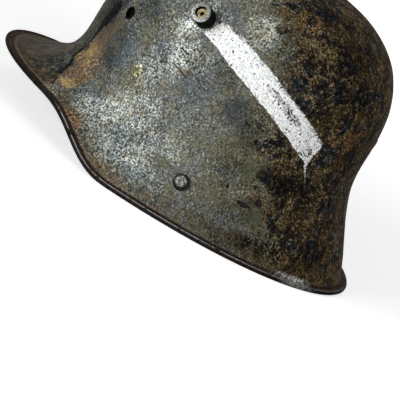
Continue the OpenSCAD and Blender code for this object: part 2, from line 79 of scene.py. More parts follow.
# %% Place the camera
AZIMUTH, ELEVATION, LEAN = math.radians(5), math.radians(14), math.radians(31.93)
DISTANCE = 1.2
LENS = 151.0
TARGET = Vector((0, 0.02793, -0.00181))

toward = Vector((
    math.cos(AZIMUTH) * math.cos(ELEVATION), -math.sin(AZIMUTH) * math.cos(ELEVATION), math.sin(ELEVATION)
))
level = Vector((0, 0, 1)).cross(toward).normalized()
upright = toward.cross(level)
right = math.cos(LEAN) * level + math.sin(LEAN) * upright
up = math.cos(LEAN) * upright - math.sin(LEAN) * level

camera = bpy.data.objects.new("camera", bpy.data.cameras.new("camera"))
bpy.context.scene.collection.objects.link(camera)
camera.data.lens = LENS
camera.data.sensor_width = 36
camera.data.clip_start = 0.05
camera.data.clip_end = 30
camera_turn = Matrix((right, up, toward)).transposed().to_4x4()
camera.matrix_world = Matrix.Translation(TARGET + DISTANCE * toward) @ camera_turn
bpy.context.scene.camera = camera
print("the camera looks along", [round(-v, 3) for v in toward])

# %% [markdown]
# ## Light and floor
# One large soft lamp stands on the left of the camera, where the photograph's broad sheen on
# the front half comes from, a narrow one grazes the crown and the neck from the right, and a
# pale world fills the rest. Their level is low enough that a colour renders about as written.
# The floor is plain and pale. Its finish comes last, with the other finishes.

# %% Set the lamps, the world and the floor
AIM = Vector((0, 0, 0.08))
WORLD_LIGHT, WORLD_SEEN = 0.16, 1.0
SEEN_BY = ("Camera", "Glossy", "Transmission")


def lamp(name, place, size, power):
    data = bpy.data.lights.new(name, "AREA")
    data.shape = "DISK"
    data.size = size
    data.energy = power
    item = bpy.data.objects.new(name, data)
    bpy.context.scene.collection.objects.link(item)
    item.location = place
    item.rotation_euler = (place - AIM).to_track_quat("Z", "Y").to_euler()


def seen(across, high, near):
    """A direction given as the camera sees it, in the model's own axes."""
    return (across * right + high * up + near * toward).normalized()


lamp("key", seen(-0.52, 0.38, 0.76) * 1.6, 0.9, 22)
lamp("crown", seen(0.62, 0.72, -0.30) * 1.6, 0.5, 1.5)
lamp("fill", seen(0.50, 0.05, 0.86) * 2.0, 1.0, 11)

world = bpy.data.worlds.new("pale")
bpy.context.scene.world = world
world.use_nodes = True
sky = world.node_tree.nodes["Background"]
rays = world.node_tree.nodes.new("ShaderNodeLightPath")
shown = rays.outputs[f"Is {SEEN_BY[0]} Ray"]
for ray in SEEN_BY[1:]:
    either = world.node_tree.nodes.new("ShaderNodeMath")
    either.operation = "MAXIMUM"
    world.node_tree.links.new(shown, either.inputs[0])
    world.node_tree.links.new(rays.outputs[f"Is {ray} Ray"], either.inputs[1])
    shown = either.outputs[0]
strength = world.node_tree.nodes.new("ShaderNodeMapRange")
world.node_tree.links.new(shown, strength.inputs["Value"])
strength.inputs["To Min"].default_value = WORLD_LIGHT
strength.inputs["To Max"].default_value = WORLD_SEEN
world.node_tree.links.new(strength.outputs["Result"], sky.inputs["Strength"])
sky.inputs["Color"].default_value = (1, 1, 1, 1)

bpy.ops.object.select_all(action="DESELECT")
bpy.ops.mesh.primitive_circle_add(vertices=96, radius=8, fill_type="NGON", location=(0, 0, 0))
floor = bpy.context.active_object
floor.name = "floor"
floor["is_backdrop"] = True
bpy.context.scene.view_settings.view_transform = "Standard"

# %% [markdown]
# ## Shader maths
# A worn finish is many masks laid over each other. Written as plain sums such as
# 1 - mask * grain they stay readable, so one small class wraps a socket and adds a Math node
# for each operator. A second class holds a material and adds any other node with its
# settings first and its sockets after them.

# %% Wrap sockets and materials
class Signal:
    """A number that varies over a surface."""

    def __init__(self, finish, socket):
        self.finish, self.socket = finish, socket

    def maths(self, operation, *values):
        return self.finish.node("ShaderNodeMath", {"operation": operation}, dict(enumerate(values)))

    def size(self):
        return self.maths("ABSOLUTE", self)

    __add__ = __radd__ = lambda self, other: self.maths("ADD", self, other)
    __sub__ = lambda self, other: self.maths("SUBTRACT", self, other)
    __rsub__ = lambda self, other: self.maths("SUBTRACT", other, self)
    __mul__ = __rmul__ = lambda self, other: self.maths("MULTIPLY", self, other)
    __truediv__ = lambda self, other: self.maths("DIVIDE", self, other)
    __pow__ = lambda self, other: self.maths("POWER", self, other)
    __or__ = lambda self, other: self.maths("MAXIMUM", self, other)
    __and__ = lambda self, other: self.maths("MINIMUM", self, other)


def union(masks):
    """Joins masks one by one, because the renderer can't keep many values waiting."""
    return functools.reduce(operator.or_, masks)


class Finish:
    """A material with the few nodes that every finish here is made of."""

    def __init__(self, name):
        self.material = bpy.data.materials.new(name)
        self.material.use_nodes = True
        self.tree = self.material.node_tree
        self.shader = self.tree.nodes["Principled BSDF"]
        self.colour = None
        metres = self.node("ShaderNodeTexCoord", output="Object")
        self.here = self.vector("MULTIPLY", metres, (1000, 1000, 1000))

    def node(self, kind, settings=None, values=None, output=0):
        made = self.tree.nodes.new(kind)
        for key, value in (settings or {}).items():
            if key == "stops":
                for k, (place, colour) in enumerate(value):
                    stop = made.color_ramp.elements[k] if k < 2 else made.color_ramp.elements.new(place)
                    stop.position = place
                    stop.color = (*colour, 1)
            else:
                setattr(made, key, value)
        for key, value in (values or {}).items():
            self.plug(made.inputs[key], value)
        return Signal(self, made.outputs[output])

    def plug(self, socket, value):
        if isinstance(value, Signal):
            self.tree.links.new(value.socket, socket)
        elif isinstance(value, tuple) and len(value) == 3 and socket.type == "RGBA":
            socket.default_value = (*value, 1)
        else:
            socket.default_value = value

    def set(self, **values):
        for key, value in {"Base Color": self.colour, **values}.items():
            self.plug(self.shader.inputs[key.replace("_", " ")], value)

    def vector(self, operation, *values, output=0):
        return self.node("ShaderNodeVectorMath", {"operation": operation}, dict(enumerate(values)), output)

    def length(self, vector):
        return self.vector("LENGTH", vector, output="Value")

    def combined(self, x, y, z):
        return self.node("ShaderNodeCombineXYZ", values={0: x, 1: y, 2: z})

    def part(self, axis):
        return self.node("ShaderNodeSeparateXYZ", values={0: self.here}, output=axis)

    def grain(self, size, detail=3.0, rough=0.5, at=None, warp=0.0):
        return self.node("ShaderNodeTexNoise", {"noise_dimensions": "3D"}, {
            "Vector": at or self.here, "Scale": 1 / size, "Detail": detail, "Roughness": rough,
            "Distortion": warp
        })

    def step(self, value, low, high):
        return self.node("ShaderNodeMapRange", {"interpolation_type": "SMOOTHSTEP"}, {
            "Value": value, "From Min": low, "From Max": high
        })

    def mix(self, share, low, high, blend="MIX"):
        made = self.tree.nodes.new("ShaderNodeMix")
        made.data_type = "RGBA"
        made.blend_type = blend
        colours = [s for s in made.inputs if s.type == "RGBA"]
        for socket, value in zip((made.inputs[0], *colours), (share, low, high)):
            self.plug(socket, value)
        return Signal(self, [s for s in made.outputs if s.type == "RGBA"][0])

    def tones(self, value, low, high, first, second):
        """Goes from one colour to another while a value goes from low to high."""
        return self.mix(self.step(value, low, high), first, second)

    def coat(self, mask, tone):
        """Lays a colour over the ones that are there already."""
        self.colour = self.mix(mask, self.colour, tone)

    def bump(self, height, depth, strength):
        values = {"Height": height, "Distance": depth, "Strength": strength}
        return self.node("ShaderNodeBump", values=values)

    def mirrored(self):
        """The place with its x made positive, for marks that both sides of the helmet carry."""
        return self.combined(self.part(0).size(), self.part(1), self.part(2))

    def from_axis(self, place, way, of=None):
        """How high along an axis and how far from it, in millimetres."""
        away = self.vector("SUBTRACT", of or self.here, tuple(place))
        high = self.vector("DOT_PRODUCT", away, tuple(way), output="Value")
        whole = self.length(away)
        return high, ((whole * whole - high * high) | 0.0) ** 0.5

    def kept(self, name):
        """An attribute of the mesh."""
        return self.node("ShaderNodeAttribute", {"attribute_name": name}, output="Fac")

    def edged(self, far, ragged, soft):
        """A mask that ends where a distance, broken up by a signal, passes 1."""
        return self.step(far + ragged if ragged else far, 1 + soft / 2, 1 - soft / 2)

    def near(self, place, ragged=None, soft=0.5, of=None):
        """A patch round a place, given as x, y, z and its reach along each, in millimetres."""
        away = self.vector("SUBTRACT", of or self.here, place[:3])
        return self.edged(self.length(self.vector("DIVIDE", away, place[3:])), ragged, soft)

    def stroke(self, start, end, ragged, soft, of):
        """A straight stroke. Each end is given as x, y, z and half the stroke's width there."""
        way = Vector(end[:3]) - Vector(start[:3])
        away = self.vector("SUBTRACT", of or self.here, start[:3])
        along = self.vector("DOT_PRODUCT", away, tuple(way), output="Value")
        along = ((along / way.length_squared) | 0.0) & 1.0
        foot = self.node("ShaderNodeVectorMath", {"operation": "SCALE"}, {0: tuple(way), "Scale": along})
        far = self.length(self.vector("SUBTRACT", away, foot))
        return self.edged(far / (along * (end[3] - start[3]) + start[3]), ragged, soft)

    def line(self, points, ragged=None, soft=0.5, of=None):
        """A stroke through several places."""
        return union(self.stroke(*ends, ragged, soft, of) for ends in zip(points, points[1:]))


print("helpers are ready")

# %% [markdown]
# ## The shell
# The shell is one sheet of steel, pressed in several draws: a boxy crown, a drawn skirt, a
# step from the visor down to the neck guard, and a turned out lip with a rolled hem. Its
# form is a family of section curves round the helmet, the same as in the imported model, and
# no chain of extrusions follows them closely. So a grid is added as the blank, and its
# columns are laid on the section curves: down the outside, round the hem and up the inside.
# Soft noise moves both skins together, because an old helmet is never quite true.

# %% Section curves of the shell, in millimetres
# Values in threes are those at the front, the side and the rear.
CROWN_H, CROWN_Y, CROWN_FULLNESS, SHEET = 174.5, 6.1, 2.73, 1.2
BOWL, BOWL_POWERS, SEAT = (108.4, 97.1, 105.2), (2.07, 2.07), (74.6, 92.2, 88.1)
RIM, RIM_POWERS = (155.2, 114.1, 143.0), (2.07, 2.12)
VISOR_Z, VISOR_DROP, STEP_ANGLE, STEP_SPAN = 29.4, 6.55, 51.5, 34.4
MAIN_SLOPES, UPPER_PULL, LOWER_PULL = (12.0, 74.3, 68.0), (21.0, 35.6, 38.0), (36.0, 35.9, 33.4)
LIP_SLOPES, LIP_W, HEM_R = (0.5, 15.0, 15.0), 4.0, 1.5
LUG_ANGLE, LUG_Z, POST_ANGLE, POST_Z, PIN_ANGLE, PIN_Z = 62.5, 125.2, 88.0, 27.4, 33.0, 98.1


def share(angle, front, side, rear):
    end = np.where(np.cos(angle) >= 0, front, rear)
    return side + (end - side) * np.cos(angle) ** 2


def oval(angle, front, side, rear, front_power, rear_power):
    ahead = np.cos(angle) >= 0
    power = np.where(ahead, front_power, rear_power)
    lengthwise = np.abs(np.cos(angle) / np.where(ahead, front, rear)) ** power
    return (lengthwise + np.abs(np.sin(angle) / side) ** power) ** (-1 / power)


def bowl_r(angle):
    return oval(angle, *BOWL, *BOWL_POWERS)


def seat_z(angle):
    return share(angle, *SEAT)


def slopes(angle, front, side, rear):
    slope = np.radians(share(angle, front, side, rear))
    return np.stack([np.cos(slope), -np.sin(slope)], -1), np.stack([np.sin(slope), np.cos(slope)], -1)


def hem_centre(angle):
    around = np.degrees(np.abs((angle + np.pi) % (2 * np.pi) - np.pi))
    t = np.clip(0.5 + (around - STEP_ANGLE) / STEP_SPAN, 0, 1)
    stepped = t ** 3 * (10 + t * (6 * t - 15))
    z = (VISOR_Z - VISOR_DROP * (around / STEP_ANGLE) ** 2) * (1 - stepped)
    r = oval(angle, *RIM, *RIM_POWERS)
    return np.stack([r - HEM_R, z + HEM_R], -1)


def hem_point(angle, turn):
    along, away = slopes(angle, *LIP_SLOPES)
    return hem_centre(angle) + HEM_R * (np.cos(turn) * along + np.sin(turn) * away)


HEM_START = np.pi - math.asin(SHEET / (2 * HEM_R))


def outer_section(angle, dome_rows, skirt_rows, lip_rows):
    """Radius and height of the outer skin at one angle, from under the crown to the hem."""
    turn = np.linspace(0, np.pi / 2, dome_rows + 1)[1:, None]
    size = (np.sin(turn) ** CROWN_FULLNESS + np.cos(turn) ** CROWN_FULLNESS) ** (1 / CROWN_FULLNESS)
    top = np.stack([bowl_r(angle), seat_z(angle)], -1)
    dome = np.concatenate([
        top[0] * np.sin(turn) / size, top[1] + (CROWN_H - top[1]) * np.cos(turn) / size
    ], -1)
    main, lip = slopes(angle, *MAIN_SLOPES)[0], slopes(angle, *LIP_SLOPES)[0]
    end = hem_point(angle, HEM_START)
    corner = end - LIP_W * lip
    low = corner - LIP_W * main
    upper = top - np.array([0, share(angle, *UPPER_PULL)])
    lower = low - share(angle, *LOWER_PULL) * main
    t = np.linspace(0, 1, skirt_rows + 1)[1:, None]
    s = 1 - t
    skirt = s ** 3 * top + 3 * s * s * t * upper + 3 * s * t * t * lower + t ** 3 * low
    t = np.linspace(0, 1, lip_rows + 1)[1:, None]
    s = 1 - t
    edge = s * s * low + 2 * s * t * corner + t * t * end
    return np.concatenate([dome, skirt, edge])


def inner_section(angle, outer):
    """The inner skin, one sheet thickness inside the outer one, from the hem to the crown."""
    before = np.concatenate([[[0, CROWN_H]], outer[:-1]])
    after = np.concatenate([outer[1:], outer[-1:]])
    along = after - before
    along[-1] = slopes(angle, *LIP_SLOPES)[0]
    along /= np.linalg.norm(along, axis=1)[:, None]
    return (outer + SHEET * np.stack([along[:, 1], -along[:, 0]], -1))[::-1]


def at(angle, point):
    return np.array([point[0] * np.sin(angle), CROWN_Y - point[0] * np.cos(angle), point[1]])


def unit(way):
    return way / np.linalg.norm(way)


print("half width of the skirt:", round(float(hem_centre(np.pi / 2)[0] + HEM_R), 1), "mm")

# %% [markdown]
# ### Laying the blank on the curves
# The grid has a column for every 1.2 degrees round the helmet. Its first and last rows
# shrink to the two poles under the crown, and merging the doubles closes them and the seam.
# Two attributes are kept for the paint: how far a point is from the rim, below zero on the
# rolled hem, and which side of the sheet it is on.

# %% Add the grid and lay it on the section curves
COLUMNS, DOME_ROWS, SKIRT_ROWS, LIP_ROWS, HEM_ROWS = 300, 46, 38, 10, 16


def pick(item):
    """Makes one piece the only one that the next operators act on."""
    if bpy.context.object and bpy.context.object.mode != "OBJECT":
        bpy.ops.object.mode_set(mode="OBJECT")
    bpy.ops.object.select_all(action="DESELECT")
    bpy.context.view_layer.objects.active = item
    item.select_set(True)
    return item


def laid_grid(name, places, **kept):
    """A grid primitive laid on an array of places, in millimetres, with attributes to keep."""
    columns, rows = places.shape[0], places.shape[1]
    bpy.ops.object.select_all(action="DESELECT")
    bpy.ops.mesh.primitive_grid_add(x_subdivisions=columns - 1, y_subdivisions=rows - 1, size=1)
    item = bpy.context.active_object
    item.name = item.data.name = name
    flat = np.zeros(len(item.data.vertices) * 3, np.float32)
    item.data.vertices.foreach_get("co", flat)
    flat = flat.reshape(-1, 3)
    column = np.rint((flat[:, 0] + 0.5) * (columns - 1)).astype(int)
    row = np.rint((flat[:, 1] + 0.5) * (rows - 1)).astype(int)
    item.data.vertices.foreach_set("co", (places[column, row] / 1000).astype(np.float32).ravel())
    for key, values in kept.items():
        attribute = item.data.attributes.new(key, "FLOAT", "POINT")
        attribute.data.foreach_set("value", values[column, row].astype(np.float32))
    item.data.update()
    return item


def edit(item):
    """Starts editing a piece, with all of it selected."""
    pick(item)
    bpy.ops.object.mode_set(mode="EDIT")
    bpy.ops.mesh.select_all(action="SELECT")


def clean(item):
    """Merges doubles and turns all faces outwards."""
    edit(item)
    bpy.ops.mesh.remove_doubles(threshold=0.000002)
    bpy.ops.mesh.dissolve_degenerate(threshold=0.0000005)
    bpy.ops.mesh.normals_make_consistent(inside=False)
    bpy.ops.object.mode_set(mode="OBJECT")
    return item


def skin_place(angle, z):
    """A point on the outer skin and the way out there, found on the section curves."""
    def point(a, h):
        rows = np.concatenate([[[0, CROWN_H]], outer_section(a, 240, 240, 4)])
        return at(a, [np.interp(-h, -rows[:, 1], rows[:, 0]), h])
    step, rise = 0.002, 0.2
    around = point(angle + step, z) - point(angle - step, z)
    return point(angle, z), unit(np.cross(around, point(angle, z + rise) - point(angle, z - rise)))


fittings = {}
for side, name in ((1, "left"), (-1, "right")):
    fittings["lug_" + name] = skin_place(side * math.radians(LUG_ANGLE), LUG_Z)
    fittings["post_" + name] = skin_place(side * math.radians(POST_ANGLE), POST_Z)
    fittings["pin_front_" + name] = skin_place(side * math.radians(PIN_ANGLE), PIN_Z)
fittings["pin_rear"] = skin_place(math.pi, PIN_Z)
for name, (place, way) in fittings.items():
    if name.startswith("pin"):
        way[2] = 0
        way /= np.linalg.norm(way)
print({name: np.round(place, 2).tolist() for name, (place, way) in fittings.items()})


def waves(places, size, seed):
    """Soft noise at each place, from about -1 to 1, with waves of a size in millimetres."""
    flat = places.reshape(-1, 3) / size + seed
    return np.array([noise.noise(Vector(p)) for p in flat]).reshape(places.shape[:-1])


angles = np.linspace(0, 2 * np.pi, COLUMNS + 1)
columns = []
for angle in angles:
    outer = outer_section(angle, DOME_ROWS, SKIRT_ROWS, LIP_ROWS)
    turn = np.linspace(HEM_START, -HEM_START, HEM_ROWS + 1)[1:-1]
    hem = np.array([hem_point(angle, t) for t in turn])
    poles = np.array([[[0, CROWN_H]], [[0, CROWN_H - SHEET]]])
    section = np.concatenate([poles[0], outer, hem, inner_section(angle, outer), poles[1]])
    columns.append([at(angle, point) for point in section])
columns = np.array(columns)
columns[-1] = columns[0]
outer_count = 1 + DOME_ROWS + SKIRT_ROWS + LIP_ROWS
print("blank:", columns.shape[:2], "outer rows:", outer_count)

# %% [markdown]
# ### Dents
# Both skins move by the same noise at the same place of the sheet, along the outer skin's way
# out, so the sheet keeps its thickness. The moves fade to nothing round the fittings, which
# have to sit on the sheet, and at the hem, on which the helmet stands.

# %% Move both skins by soft noise
DENTS = ((0.75, 46, 3.7), (0.40, 21, 11.1), (0.13, 9, 23.9))
FLAT_R, FLAT_FADE, RIM_FADE = 9, 16, 22
outer = columns[:, :outer_count]
around = np.roll(outer[:-1], -1, 0) - np.roll(outer[:-1], 1, 0)
around = np.concatenate([around, around[:1]])
down = np.gradient(outer, axis=1)
way = np.cross(down, around)
way[:, 0] = (0, 0, 1)
length = np.linalg.norm(way, axis=-1, keepdims=True)
way = way / np.where(length > 1e-9, length, 1)
dent = sum(depth * waves(outer, size, seed) for depth, size, seed in DENTS)
dent[-1] = dent[0]
dent[:, 0] = dent[0, 0]
for place, _ in fittings.values():
    fade = np.clip((np.linalg.norm(outer - place, axis=-1) - FLAT_R) / FLAT_FADE, 0, 1)
    dent *= fade ** 2 * (3 - 2 * fade)
to_rim = np.zeros(outer.shape[:2])
pieces = np.linalg.norm(np.diff(outer, axis=1), axis=-1)
to_rim[:, :-1] = np.cumsum(pieces[:, ::-1], axis=1)[:, ::-1]
dent *= np.clip(to_rim / RIM_FADE, 0, 1)
move = way * dent[..., None]
rows = columns.shape[1]
columns[:, :outer_count] += move
columns[:, rows - outer_count:] += move[:, ::-1]
print("deepest dent:", round(float(dent.min()), 2), "mm, highest:", round(float(dent.max()), 2), "mm")

rim = np.zeros(columns.shape[:2])
rim[:, :outer_count] = to_rim
rim[:, outer_count:rows - outer_count] = -np.arange(1, HEM_ROWS) * 2 * HEM_START * HEM_R / HEM_ROWS
rim[:, rows - outer_count:] = to_rim[:, ::-1]
within = np.zeros(columns.shape[:2])
within[:, rows - outer_count:] = 1
shell = clean(laid_grid("steel_shell", columns, to_rim=rim, within=within))
print("shell:", len(shell.data.vertices), "vertices")

# %% [markdown]
# ### Holes
# The sheet is drilled for two lugs, two strap rivets and three liner pins. The drills are
# cylinders, joined and taken away with one exact Boolean, because a hole cut into a curved
# sheet has no simple outline that could be modelled by hand.

# %% Drill the sheet
def put(item, place, way):
    """Moves a piece made round the origin to its place in millimetres, with its Z along a way."""
    turn = Matrix.Rotation(math.atan2(way[1], way[0]), 4, "Z") @ Matrix.Rotation(math.acos(way[2]), 4, "Y")
    item.data.transform(Matrix.Translation(Vector(place) / 1000) @ turn)
    return item


def joined(items, name):
    """Makes one piece of several."""
    pick(items[0])
    for item in items[1:]:
        item.select_set(True)
    if len(items) > 1:
        bpy.ops.object.join()
    items[0].name = items[0].data.name = name
    return items[0]


def drill(target, holes):
    """Takes cylinders away from a piece: a hole is a place, a way and a radius in millimetres."""
    bits = []
    for place, way, radius in holes:
        bpy.ops.object.select_all(action="DESELECT")
        bpy.ops.mesh.primitive_cylinder_add(vertices=48, radius=radius / 1000, depth=0.008)
        bits.append(put(bpy.context.active_object, place, way))
    bits = joined(bits, "drill")
    pick(target)
    cut = target.modifiers.new("drill", "BOOLEAN")
    cut.operation, cut.solver, cut.object = "DIFFERENCE", "EXACT", bits
    bpy.ops.object.modifier_apply(modifier=cut.name)
    bpy.data.objects.remove(bits)
    return target


def smooth(item, angle):
    pick(item)
    bpy.ops.object.shade_smooth_by_angle(angle=math.radians(angle))


def fit(item, node, angle=40):
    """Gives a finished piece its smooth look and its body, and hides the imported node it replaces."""
    smooth(item, angle)
    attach(item, "helmet")
    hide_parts(node)
    return item


HOLES = {"lug": 5.3, "post": 2.6, "pin": 3.5}
drill(shell, [(*fittings[name], HOLES[name.split("_")[0]]) for name in sorted(fittings)])
fit(shell, "shell", 50)
print("drilled:", len(fittings), "holes")

# %% [markdown]
# ## Turned fittings
# Lugs, rivets, strap posts and pin heads come off a lathe. Each starts as a circle that is
# extruded ring by ring along its profile, as a turner would cut it. Small arcs in the
# profile soften its corners, and slight noise takes the machine look off old, worn steel.

# %% Turn a profile
def softened(profile, radius):
    """Replaces each inner corner of a profile by a small arc."""
    steps = 3
    points = [np.array(p, float) for p in profile]
    made = [points[0]]
    for before, corner, after in zip(points, points[1:], points[2:]):
        a, b = before - corner, after - corner
        cut = min(radius, 0.45 * np.linalg.norm(a), 0.45 * np.linalg.norm(b))
        start, end = corner + a / np.linalg.norm(a) * cut, corner + b / np.linalg.norm(b) * cut
        for k in range(steps + 1):
            t = k / steps
            made.append((1 - t) ** 2 * start + 2 * t * (1 - t) * corner + t * t * end)
    return made + [points[-1]]


def domed(radius, height, base, degrees):
    """The profile of a low dome on a base height."""
    return [(radius * math.cos(a), base + height * math.sin(a)) for a in map(math.radians, degrees)]


def turned(name, profile, sides=64, closed=True):
    """Turns a profile of (radius, height) pairs, in millimetres, round the Z axis."""
    rings = [(max(r, 0.0004) / 1000, z / 1000) for r, z in profile]
    if closed:
        rings.append(rings[0])
    bpy.ops.object.select_all(action="DESELECT")
    radius, height = rings[0]
    bpy.ops.mesh.primitive_circle_add(vertices=sides, radius=radius, location=(0, 0, height))
    item = bpy.context.active_object
    item.name = item.data.name = name
    pick(item)
    bpy.ops.object.transform_apply(location=True, rotation=False, scale=False)
    edit(item)
    for next_radius, next_height in rings[1:]:
        bpy.ops.mesh.extrude_region_move(TRANSFORM_OT_translate={"value": (0, 0, next_height - height)})
        size = next_radius / radius
        bpy.ops.transform.resize(value=(size, size, 1), center_override=(0, 0, next_height))
        radius, height = next_radius, next_height
    bpy.ops.object.mode_set(mode="OBJECT")
    return clean(item)


def worn(item, depth, size, seed=0.0, low=-1e9):
    """Moves the points above a height by soft noise, both in millimetres."""
    start = Vector((seed, seed, seed))
    for point in item.data.vertices:
        if point.co.z * 1000 > low:
            point.co += depth / 1000 * noise.noise_vector(point.co * (1000 / size) + start)
    return item


def twin(item, name):
    """A copy with its own mesh."""
    other = item.copy()
    other.data = item.data.copy()
    bpy.context.scene.collection.objects.link(other)
    other.name = other.data.name = name
    return other


print("the lathe is ready")

# %% [markdown]
# ### Ventilator lugs
# A lug is a thick steel tube with a wide mouth, whose floor is caked with yellow rust round
# the air bore, and a flange peened over inside the shell. Its ring face is battered, so the
# wear is stronger there.

# %% Turn the two lugs
lug = turned("ventilator_lug", softened([
    (1.3, -2.6), (6.0, -2.6), (6.5, -2.2), (6.5, -1.6), (5.2, -1.55), (5.2, 0.18), (7.0, 0.2), (7.0, 6.0),
    (7.0, 13.0), (6.2, 14.2), (4.2, 14.2), (3.85, 13.7), (3.8, 10.9), (3.2, 10.7), (1.6, 10.85), (1.3, 9.8)
], 0.35))
edit(lug)
bpy.ops.mesh.subdivide(number_cuts=1)
bpy.ops.object.mode_set(mode="OBJECT")
lugs = {}
for side, seed in (("left", 2.2), ("right", 9.4)):
    item = worn(twin(lug, "ventilator_lug_on_the_" + side), 0.22, 3.0, seed, 10.2)
    put(worn(item, 0.25, 9.0, seed + 4, 1.0), *fittings["lug_" + side])
    lugs[side] = fit(item, "ventilator_lug_" + side)
bpy.data.objects.remove(lug)
print("lugs:", [len(item.data.polygons) for item in lugs.values()], "faces each")

# %% [markdown]
# ### Strap rivets and posts
# The rivet's low dome was set with a hammer, which left small flats on it. Behind it the
# spool of the strap post is clamped against the inside of the shell by the peened tail.

# %% Turn the strap rivets and posts
tail = [(0, -12.02), (2.9, -12.0), (3.45, -11.6), (3.5, -11.14), (2.5, -11.12), (2.5, 0.24)]
rivet = turned("rivet", tail + domed(5.7, 2.6, 0.25, range(0, 91, 9)), closed=False)
post = turned("post", softened([
    (2.6, -10.92), (5.9, -10.92), (6.5, -10.3), (6.5, -9.15), (4.7, -9.12), (4.5, -8.6), (4.5, -3.6),
    (4.8, -3.12), (8.5, -3.1), (8.5, -1.63), (2.6, -1.62)
], 0.3))
for side, seed in (("left", 1.3), ("right", 6.1)):
    place, way = fittings["post_" + side]
    item = worn(twin(rivet, "strap_rivet_" + side), 0.55, 2.4, seed, 0.9)
    fit(put(item, place, way), "chinstrap_rivet_" + side, angle=60)
    item = worn(twin(post, "strap_post_" + side), 0.12, 6.0, seed)
    fit(put(item, place, way), "chinstrap_post_" + side)
for item in (rivet, post):
    bpy.data.objects.remove(item)
print("strap rivets and posts are in")

# %% [markdown]
# ### Liner pins
# A liner pin is a big split pin: its domed head lies on the shell, and its two legs go
# through the shell and the band and are bent flat. The head is turned. A leg is a half
# round bar, swept along its bend as a grid, because the bar changes its form on the way.
# The pin at the front left has dropped out, and its hole stays open.

# %% Make the two liner pins
def swept(name, loops, **kept):
    """A tube through closed loops of points, its two ends closed by a flat cap."""
    loops = np.asarray(loops, float)
    ends = [np.repeat(loops[k].mean(0)[None], loops.shape[1], 0)[None] for k in (0, -1)]
    loops = np.concatenate([ends[0], loops, ends[1]])
    loops = np.concatenate([loops, loops[:, :1]], 1)
    for key, values in kept.items():
        values = np.concatenate([values[:1], values, values[-1:]])
        kept[key] = np.concatenate([values, values[:, :1]], 1)
    return clean(laid_grid(name, loops, **kept))


def leg(side, depth, top):
    path = [(top, 1.55), (-depth + 1.1, 1.55)]
    path += [(-depth + 1.1 * math.sin(a), 2.65 - 1.1 * math.cos(a)) for a in np.radians([60, 30, 0])]
    path += [(-depth, 5.4), (-depth + 0.1, 8.2), (-depth + 0.12, 8.5)]
    loops = []
    for k, (height, out) in enumerate(path):
        before, after = path[max(k - 1, 0)], path[min(k + 1, len(path) - 1)]
        along = unit(np.array([after[1] - before[1], after[0] - before[0]]))
        bend = np.clip((out - 1.55) / 2.5, 0, 1)
        wide, thick = 1.75 + 0.3 * bend, 1.25 * (1 - bend) + 0.45 * bend
        if k == len(path) - 1:
            wide, thick = 0.8 * wide, 0.7 * thick
        loop = []
        for a in np.radians(np.arange(0, 360, 22.5)):
            u = wide * math.copysign(abs(math.cos(a)) ** 0.6, math.cos(a))
            v = thick * math.copysign(abs(math.sin(a)) ** 0.6, math.sin(a))
            loop.append((side * (out + v * along[1]), u, height - v * along[0]))
        loops.append(loop)
    return swept("leg", loops)


for name, base, depth, seed in (("pin_front_right", 0.46, 5.25, 3.3), ("pin_rear", 0.19, 5.36, 7.7)):
    under = [(0, base - 0.5), (3.1, base - 0.5), (3.15, base)]
    head = turned("head", under + domed(5.3, 1.2, base, range(0, 91, 10)), closed=False)
    worn(head, 0.25, 2.6, seed, base + 0.2)
    pin = joined([head, leg(1, depth, base - 0.45), leg(-1, depth, base - 0.45)], "liner_" + name)
    fit(put(pin, *fittings[name]), "split_" + name)
print("liner pins are in")

# %% [markdown]
# ## The liner
# The liner is a steel band that carries three leather pads. The band follows the bowl a few
# millimetres inside it, so its curve comes from the same bowl curve as the shell's. Each
# pad's base is riveted to the band, and above the band it folds into two tongues that meet
# under the crown.

# %% Curves of the liner, in millimetres
BAND_BACK, BAND, BAND_HALF = 2.5, 0.9, 10
LEATHER, LEATHER_BACK, PAD_LOW = 1.8, 4.7, 87.1
FOLD_Z, DOME_H, FULLNESS, REACH, TIP = 112.1, 48.0, 1.7, 58.0, 24.0
PADS = {"front_left": 60.0, "front_right": -60.0, "rear": 180.0}
SPAN, SLIT = 92.0, 3.2


def dome_r(angle, z):
    rise = (z - seat_z(angle)) / (CROWN_H - seat_z(angle))
    return bowl_r(angle) * (1 - np.clip(rise, 0, 1) ** CROWN_FULLNESS) ** (1 / CROWN_FULLNESS)


def liner_r(angle, depth):
    return dome_r(angle, PIN_Z) - SHEET - depth


def liner_out(angle):
    """The level way out of the liner."""
    step, depth = 0.001, 3.4
    before, after = (at(k, [liner_r(k, depth), PIN_Z]) for k in (angle - step, angle + step))
    return unit(np.cross(after - before, [0, 0, 1.0]))


def slab_loop(half, thick, corner, top_square):
    """Depth and height round a strip's cross section, with rounded edges."""
    loop, rows = [], []
    for cu, cv, start in ((1, 1, 0), (-1, 1, 90), (-1, -1, 180), (1, -1, 270)):
        r = 0.05 if top_square and cv > 0 else corner
        for a in np.radians(np.linspace(start, start + 90, 4)):
            loop.append((cu * (thick / 2 - r) + r * math.cos(a), cv * (half - r) + r * math.sin(a)))
    for point, after in zip(loop, loop[1:] + loop[:1]):
        rows.append(point)
        for t in np.linspace(0, 1, 10)[1:-1] if math.dist(point, after) > half else ():
            rows.append((point[0] + t * (after[0] - point[0]), point[1] + t * (after[1] - point[1])))
    return rows


